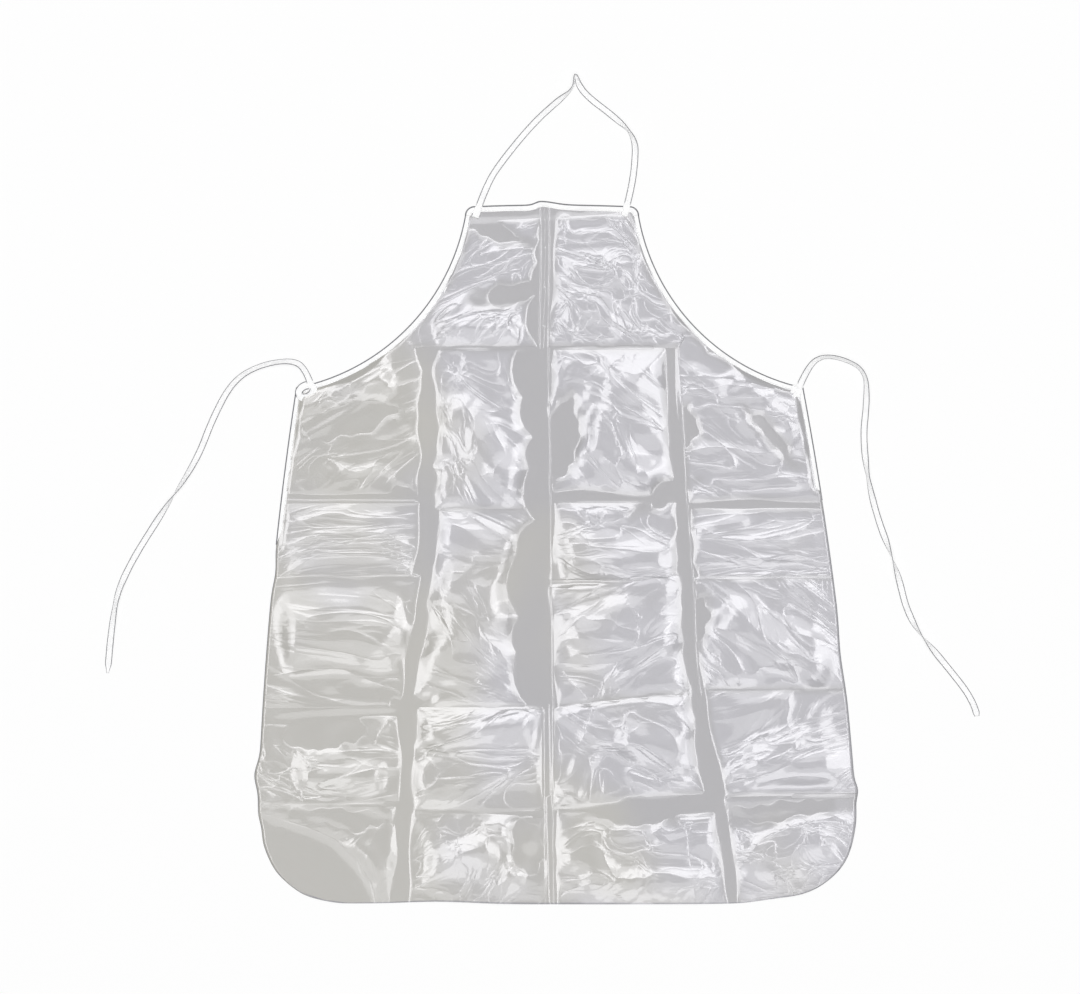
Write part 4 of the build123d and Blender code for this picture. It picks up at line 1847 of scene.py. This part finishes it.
@dataclass
class TieLoop(SewnEnd):
    """Left tie's sewn end: the tape is folded round into a flat loop, with a lens-shaped eye."""

    place: Point = (-7.2, -11.3)
    size: Point = (34.0, 29.0)
    angle: float = 28.0
    low: float = 1.3
    high: float = 2.6
    eye: Point = (13.0, 4.8)    # mm
    off: float = 148.0          # direction in which it stands off the apron, where its painted edge shade shows, degrees

    def build(self, finishes: Finishes) -> Piece:
        """Build the loop: an ellipse outside, the eye's two arcs inside, and two seams round it.

        Args:
            finishes: the apron's materials.

        Returns:
            The new piece.
        """
        turn = np.linspace(0, 2 * np.pi, 72, endpoint=False)
        around = np.stack([np.cos(turn), np.sin(turn)], -1)
        wobble = 1 + 0.05 * lattice_noise(2 * np.cos(turn) + 5, 2 * np.sin(turn) + 5, 3)
        outer = around * self.size / 2 * wobble[:, None]
        inner = around * self.eye / 2
        inner[:, 1] *= np.abs(np.sin(turn)) ** 0.6
        # Painted shade: the dark line along the rim shows only on the side that stands off the apron, not
        # over the film.
        sewn = 1 - smoothstep(0.3, 0.6, np.cos(turn - math.radians(self.off - self.angle)))
        shape = self.disc(inner, outer, sewn)
        for share in (0.2, 0.8):
            ring = inner + (outer - inner) * share
            self.seam(shape, np.vstack([ring, ring[:1]]), 0.1, 2.6)
        piece = shape.make("left_tie_loop", finishes.strap, finishes.thread)
        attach(piece, "apron")
        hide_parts("left_tie_end")
        return piece


@dataclass
class TiePatch(SewnEnd):
    """Right tie's sewn end: laid under itself as a small patch and stitched round and across."""

    place: Point = (-3.4, -7.6)
    size: Point = (16.5, 16.5)
    angle: float = -12.0
    low: float = 1.2
    high: float = 2.5

    def build(self, finishes: Finishes) -> Piece:
        """Build the patch: a rounded rectangle, |x|^6 + |y|^6 = 1, with a box of stitches.

        Args:
            finishes: the apron's materials.

        Returns:
            The new piece.
        """
        turn = np.linspace(0, 2 * np.pi, 64, endpoint=False)
        around = np.stack([np.cos(turn), np.sin(turn)], -1)
        power = 1 / (np.abs(around) ** 6).sum(1, keepdims=True) ** (1 / 6)
        outer = around * power * self.size / 2
        shape = self.disc(0.004 * outer, outer, 1.0)
        shape.marks[0][:, 1] = np.maximum(shape.marks[0][:, 1], 0)
        x, y = 0.36 * self.size[0], 0.34 * self.size[1]
        corners = np.array([(-x, -y), (x, -y), (x, y), (-x, y), (-x, -y), (x, y)])
        for start, end in zip(corners, corners[1:]):
            self.seam(shape, start + (end - start) * np.linspace(0, 1, 8)[:, None], 0.08, 2.4)
        piece = shape.make("right_tie_patch", finishes.strap, finishes.thread)
        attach(piece, "apron")
        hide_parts("right_tie_end")
        return piece


# ---- The whole apron


NECK_ROUTE = (
    (-0.1229, 0.4104), (-0.1066, 0.4594), (-0.0796, 0.4994), (-0.0346, 0.5534), (0.0030, 0.5870),
    (0.0245, 0.6040), (0.0262, 0.6245), (0.0290, 0.6245), (0.0330, 0.6075), (0.0480, 0.5900),
    (0.0800, 0.5660), (0.1180, 0.5330), (0.1164, 0.4844), (0.1084, 0.4404), (0.1005, 0.4124),
)
NECK_TWISTS = (
    (0, 0), (0.3, 8), (0.42, 20), (0.47, 76), (0.515, 76), (0.55, 20), (0.6, 0), (0.69, 12), (0.745, 72),
    (0.8, 10), (1, 0),
)
LEFT_TIE_ROUTE = (
    (-0.3669, 0.1530), (-0.3761, 0.1821), (-0.3961, 0.1971), (-0.4441, 0.1901), (-0.4851, 0.1671),
    (-0.5151, 0.1131), (-0.5411, 0.0441), (-0.5931, -0.0329), (-0.6451, -0.1159), (-0.6671, -0.1759),
    (-0.6741, -0.2729),
)
LEFT_TIE_TWISTS = (
    (0, 0), (0.05, 18), (0.11, 42), (0.2, 36), (0.3, 5), (0.4, -8), (0.52, 60), (0.56, 120), (0.62, 172),
    (0.76, 185), (0.84, 225), (0.9, 190), (1, 180),
)
RIGHT_TIE_ROUTE = (
    (0.3605, 0.1498), (0.3737, 0.1816), (0.3929, 0.2026), (0.4259, 0.2006), (0.4629, 0.1816),
    (0.4649, 0.1356), (0.4579, 0.0736), (0.4739, -0.0234), (0.5089, -0.1144), (0.5279, -0.1944),
    (0.5789, -0.2554), (0.6259, -0.3144), (0.6299, -0.3374),
)
RIGHT_TIE_TWISTS = (
    (0, 0), (0.05, 15), (0.1, 54), (0.2, 58), (0.25, 25), (0.3, 0), (0.37, 10), (0.42, 66), (0.47, 20),
    (0.55, 5), (0.605, 90), (0.66, 170), (0.73, 180), (0.785, 262), (0.84, 355), (1, 360),
)


@dataclass
class Apron:
    """The apron: film, five bindings, neck loop, two ties and their sewn ends."""

    pattern: Pattern = field(default_factory=Pattern)
    finishes: Finishes = field(default_factory=Finishes)
    left_exit: Point = (-0.3691, 0.1611)    # metres, where the ties leave the armholes
    right_exit: Point = (0.3619, 0.1576)
    bib_fall: float = 12.5      # mm, how far the bib's binding reaches down the armholes
    armhole_start: float = 8.0  # mm down, where the armholes' bindings begin under it
    mitre: float = 34.0         # degrees, of a binding's end at the waist
    bib_step: float = 2.5       # mm between points
    edge_step: float = 3.0

    def bib_line(self) -> Array:
        """Bound top edge: down both rounded corners, and crowned between them.

        Returns:
            Its points from left to right, one a row, in mm.
        """
        armhole = self.pattern.armhole(-1).points(200)
        r, reach, half = self.pattern.bib_corner, self.bib_fall, self.pattern.bib_width / 2
        x = np.linspace(-half + r, half - r, 90)
        top = np.column_stack([x, self.pattern.bib_crown * (1 - (x / half) ** 2) + self.pattern.bib_peak(x)])
        turn = np.linspace(0, 0.5 * np.pi, 16)
        level = top[0, 1]
        lean = (np.interp(-reach, armhole[::-1, 1], armhole[::-1, 0]) + half) / reach
        corner = np.column_stack([-half + r - r * np.cos(turn), level - r + r * np.sin(turn)])
        corner[:, 0] += lean * np.clip(-corner[:, 1], 0, None)
        foot = np.array([[corner[0, 0] + lean * (reach - r), -reach]])
        left = np.vstack([foot, corner])
        return even_line(np.vstack([left, top[1:-1], left[::-1] * (-1, 1)]), self.bib_step)

    def armhole_line(self, side: int) -> Array:
        """Bound armhole, from just below the bib's binding to the waist corner.

        Args:
            side: which armhole.

        Returns:
            Its points, with the film on the right-hand side, in mm.
        """
        line = self.pattern.armhole(side).points(300)
        line = line[line[:, 1] < -self.armhole_start]
        return even_line(line[::side], self.edge_step)

    def side_line(self, side: int) -> Array:
        """Bound stretch of a side, from the waist corner down.

        Args:
            side: which side.

        Returns:
            Its points, with the film on the right-hand side, in mm.
        """
        line = even_line(self.pattern.side(side).points(600), self.edge_step)
        line = line[:int(self.pattern.bound(side) / self.edge_step) + 1]
        return line[::side]

    def build(self) -> None:
        """Build every piece in order."""
        self.build_tapes()
        film = Film(self.pattern, Relief())
        sheet = film.build(self.finishes)
        bindings = self.build_bindings()
        film.flat_area()
        TieLoop(self.left_exit).build(self.finishes)
        TiePatch(self.right_exit).build(self.finishes)

    def build_tapes(self) -> None:
        """Build the neck loop and the two ties."""
        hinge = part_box("neck_strap")[0].y
        left, right = self.left_exit[0], self.right_exit[0]
        ribbons = (
            Ribbon("neck_loop_tape", NECK_ROUTE, NECK_TWISTS,
                   ("neck_strap", "neck_strap_left_end", "neck_strap_right_end"), "neck_loop",
                   ((0.0, hinge), (0.0, hinge + 0.012)), "object", landed=(0.03, 0.06), sewn=0.018,
                   both_sewn=True, seed=11),
            Ribbon("left_tie_tape", LEFT_TIE_ROUTE, LEFT_TIE_TWISTS, ("left_tie",), "left_waist_tie",
                   ((left + 0.004, 0.0), (left - 0.010, 0.0)), "bare", tip=0.35, seed=31),
            Ribbon("right_tie_tape", RIGHT_TIE_ROUTE, RIGHT_TIE_TWISTS, ("right_tie",), "right_waist_tie",
                   ((right - 0.004, 0.0), (right + 0.010, 0.0)), "bare", tip=0.7, tip_length=0.006,
                   seed=51),
        )
        for ribbon in ribbons:
            ribbon.build(self.finishes)

    def build_bindings(self) -> list[Piece]:
        """Build the bindings of bib, armholes and sides.

        Returns:
            The new pieces.
        """
        bindings = (
            Binding("bib_binding_tape", "bib_binding", self.bib_line(), spread=0.25, seed=61),
            Binding("left_armhole_tape", "left_armhole_binding", self.armhole_line(-1),
                    start_mitre=self.mitre, seed=62,
                    flare=((0, 0.5), (0.25, 0), (0.45, 2.5), (0.62, 5.5), (0.75, 1), (1, -2))),
            Binding("right_armhole_tape", "right_armhole_binding", self.armhole_line(1),
                    end_mitre=self.mitre, seed=63, flare=((0, -1.5), (0.5, 0), (1, 0.5))),
            Binding("left_side_tape", "left_side_binding", self.side_line(-1), end_mitre=self.mitre,
                    start_taper=28.0, seed=64, flare=((0, -0.2), (0.55, -0.2), (1, -3.5))),
            Binding("right_side_tape", "right_side_binding", self.side_line(1), start_mitre=self.mitre,
                    end_taper=28.0, seed=65, flare=((0, -2), (0.4, 0), (1, 0))),
        )
        return [binding.build(self.pattern, self.finishes) for binding in bindings]


# ---- Studio


@dataclass(frozen=True)
class Softbox:
    """Rectangular lamp high over the apron, to one side of the camera."""

    name: str
    place: tuple[float, float, float]
    size: Point
    glow: float                 # radiance, where a white sheet under a dome of 1 reads as white

    def make(self, target: Point) -> None:
        """Hang the lamp, facing the apron's middle.

        Args:
            target: the apron's middle, which the lamp's place is counted from.
        """
        data = bpy.data.lights.new(self.name, "AREA")
        data.shape = "RECTANGLE"
        data.size, data.size_y = self.size
        data.energy = self.glow * math.pi * self.size[0] * self.size[1]
        lamp = bpy.data.objects.new(self.name, data)
        bpy.context.scene.collection.objects.link(lamp)
        x, y, z = self.place
        lamp.location = (x + target[0], y + target[1], z)
        aim = Vector((*target, 0.0)) - lamp.location
        lamp.rotation_euler = aim.to_track_quat("-Z", "Y").to_euler()


@dataclass(frozen=True)
class Studio:
    """Paper sweep, softboxes on all sides of the camera, and the camera straight overhead."""

    middle: Point = (-0.0256, -0.0086)
    view_width: float = 1.62    # metres of paper across the view
    lens: float = 400.0         # mm
    sensor: float = 36.0
    floor_half: float = 7.0     # metres
    floor_drop: float = 0.0001  # metres below the apron, so that no faces coincide
    fill: float = 0.30          # dim light from all round
    boxes: tuple[Softbox, ...] = (
        Softbox("top_scrim", (0.0, 4.0, 12.0), (13.0, 5.4), 1.7),
        Softbox("foot_scrim", (0.0, -4.0, 12.0), (13.0, 5.4), 1.25),
        Softbox("left_scrim", (-3.9, 0.0, 12.0), (5.2, 2.6), 1.55),
        Softbox("right_scrim", (3.9, 0.0, 12.0), (5.2, 2.6), 1.55),
        Softbox("top_softbox", (-0.6, 4.6, 11.9), (6.6, 3.4), 3.2),
        Softbox("left_softbox", (-4.7, -0.4, 11.9), (3.2, 5.0), 2.85),
        Softbox("right_softbox", (4.7, 0.6, 11.9), (3.2, 5.0), 3.1),
        Softbox("foot_softbox", (0.6, -5.0, 11.9), (5.0, 2.6), 2.25),
    )

    def build(self) -> None:
        """Set up the whole studio."""
        self.camera()
        self.floor()
        self.world()
        for box in self.boxes:
            box.make(self.middle)
        bpy.context.scene.view_settings.view_transform = "Standard"

    def camera(self) -> None:
        """Camera looking straight down, with the neck at the top of the view."""
        data = bpy.data.cameras.new("camera")
        data.lens, data.sensor_width = self.lens, self.sensor
        height = self.view_width * self.lens / self.sensor
        data.clip_start, data.clip_end = 0.1, 4 * height
        camera = bpy.data.objects.new("camera", data)
        camera.location = (*self.middle, height)
        bpy.context.scene.collection.objects.link(camera)
        bpy.context.scene.camera = camera

    def floor(self) -> None:
        """Paper that the apron lies on."""
        corners = self.floor_half * np.array([(-1, -1), (1, -1), (1, 1), (-1, 1)])
        points = np.column_stack([corners, np.full(4, -self.floor_drop)])
        make_piece("paper", points, [[0, 1, 2, 3]], StudioPaper().make())

    def world(self) -> None:
        """Dim fill light, and white wherever the camera or a glossy face sees past the paper."""
        world = bpy.data.worlds.new("studio")
        bpy.context.scene.world = world
        add = empty_tree(world)
        strength = add("MapRange", [background_ray(add), 0.0, 1.0, self.fill, 1.0])
        light = add("Background", {"Color": WHITE, "Strength": strength})
        add("OutputWorld", {"Surface": light})


def main() -> None:
    """Build the studio and the apron."""
    Studio().build()
    Apron().build()


if __name__ == "__main__":
    logging.basicConfig(level=logging.INFO, format="%(message)s")
    main()
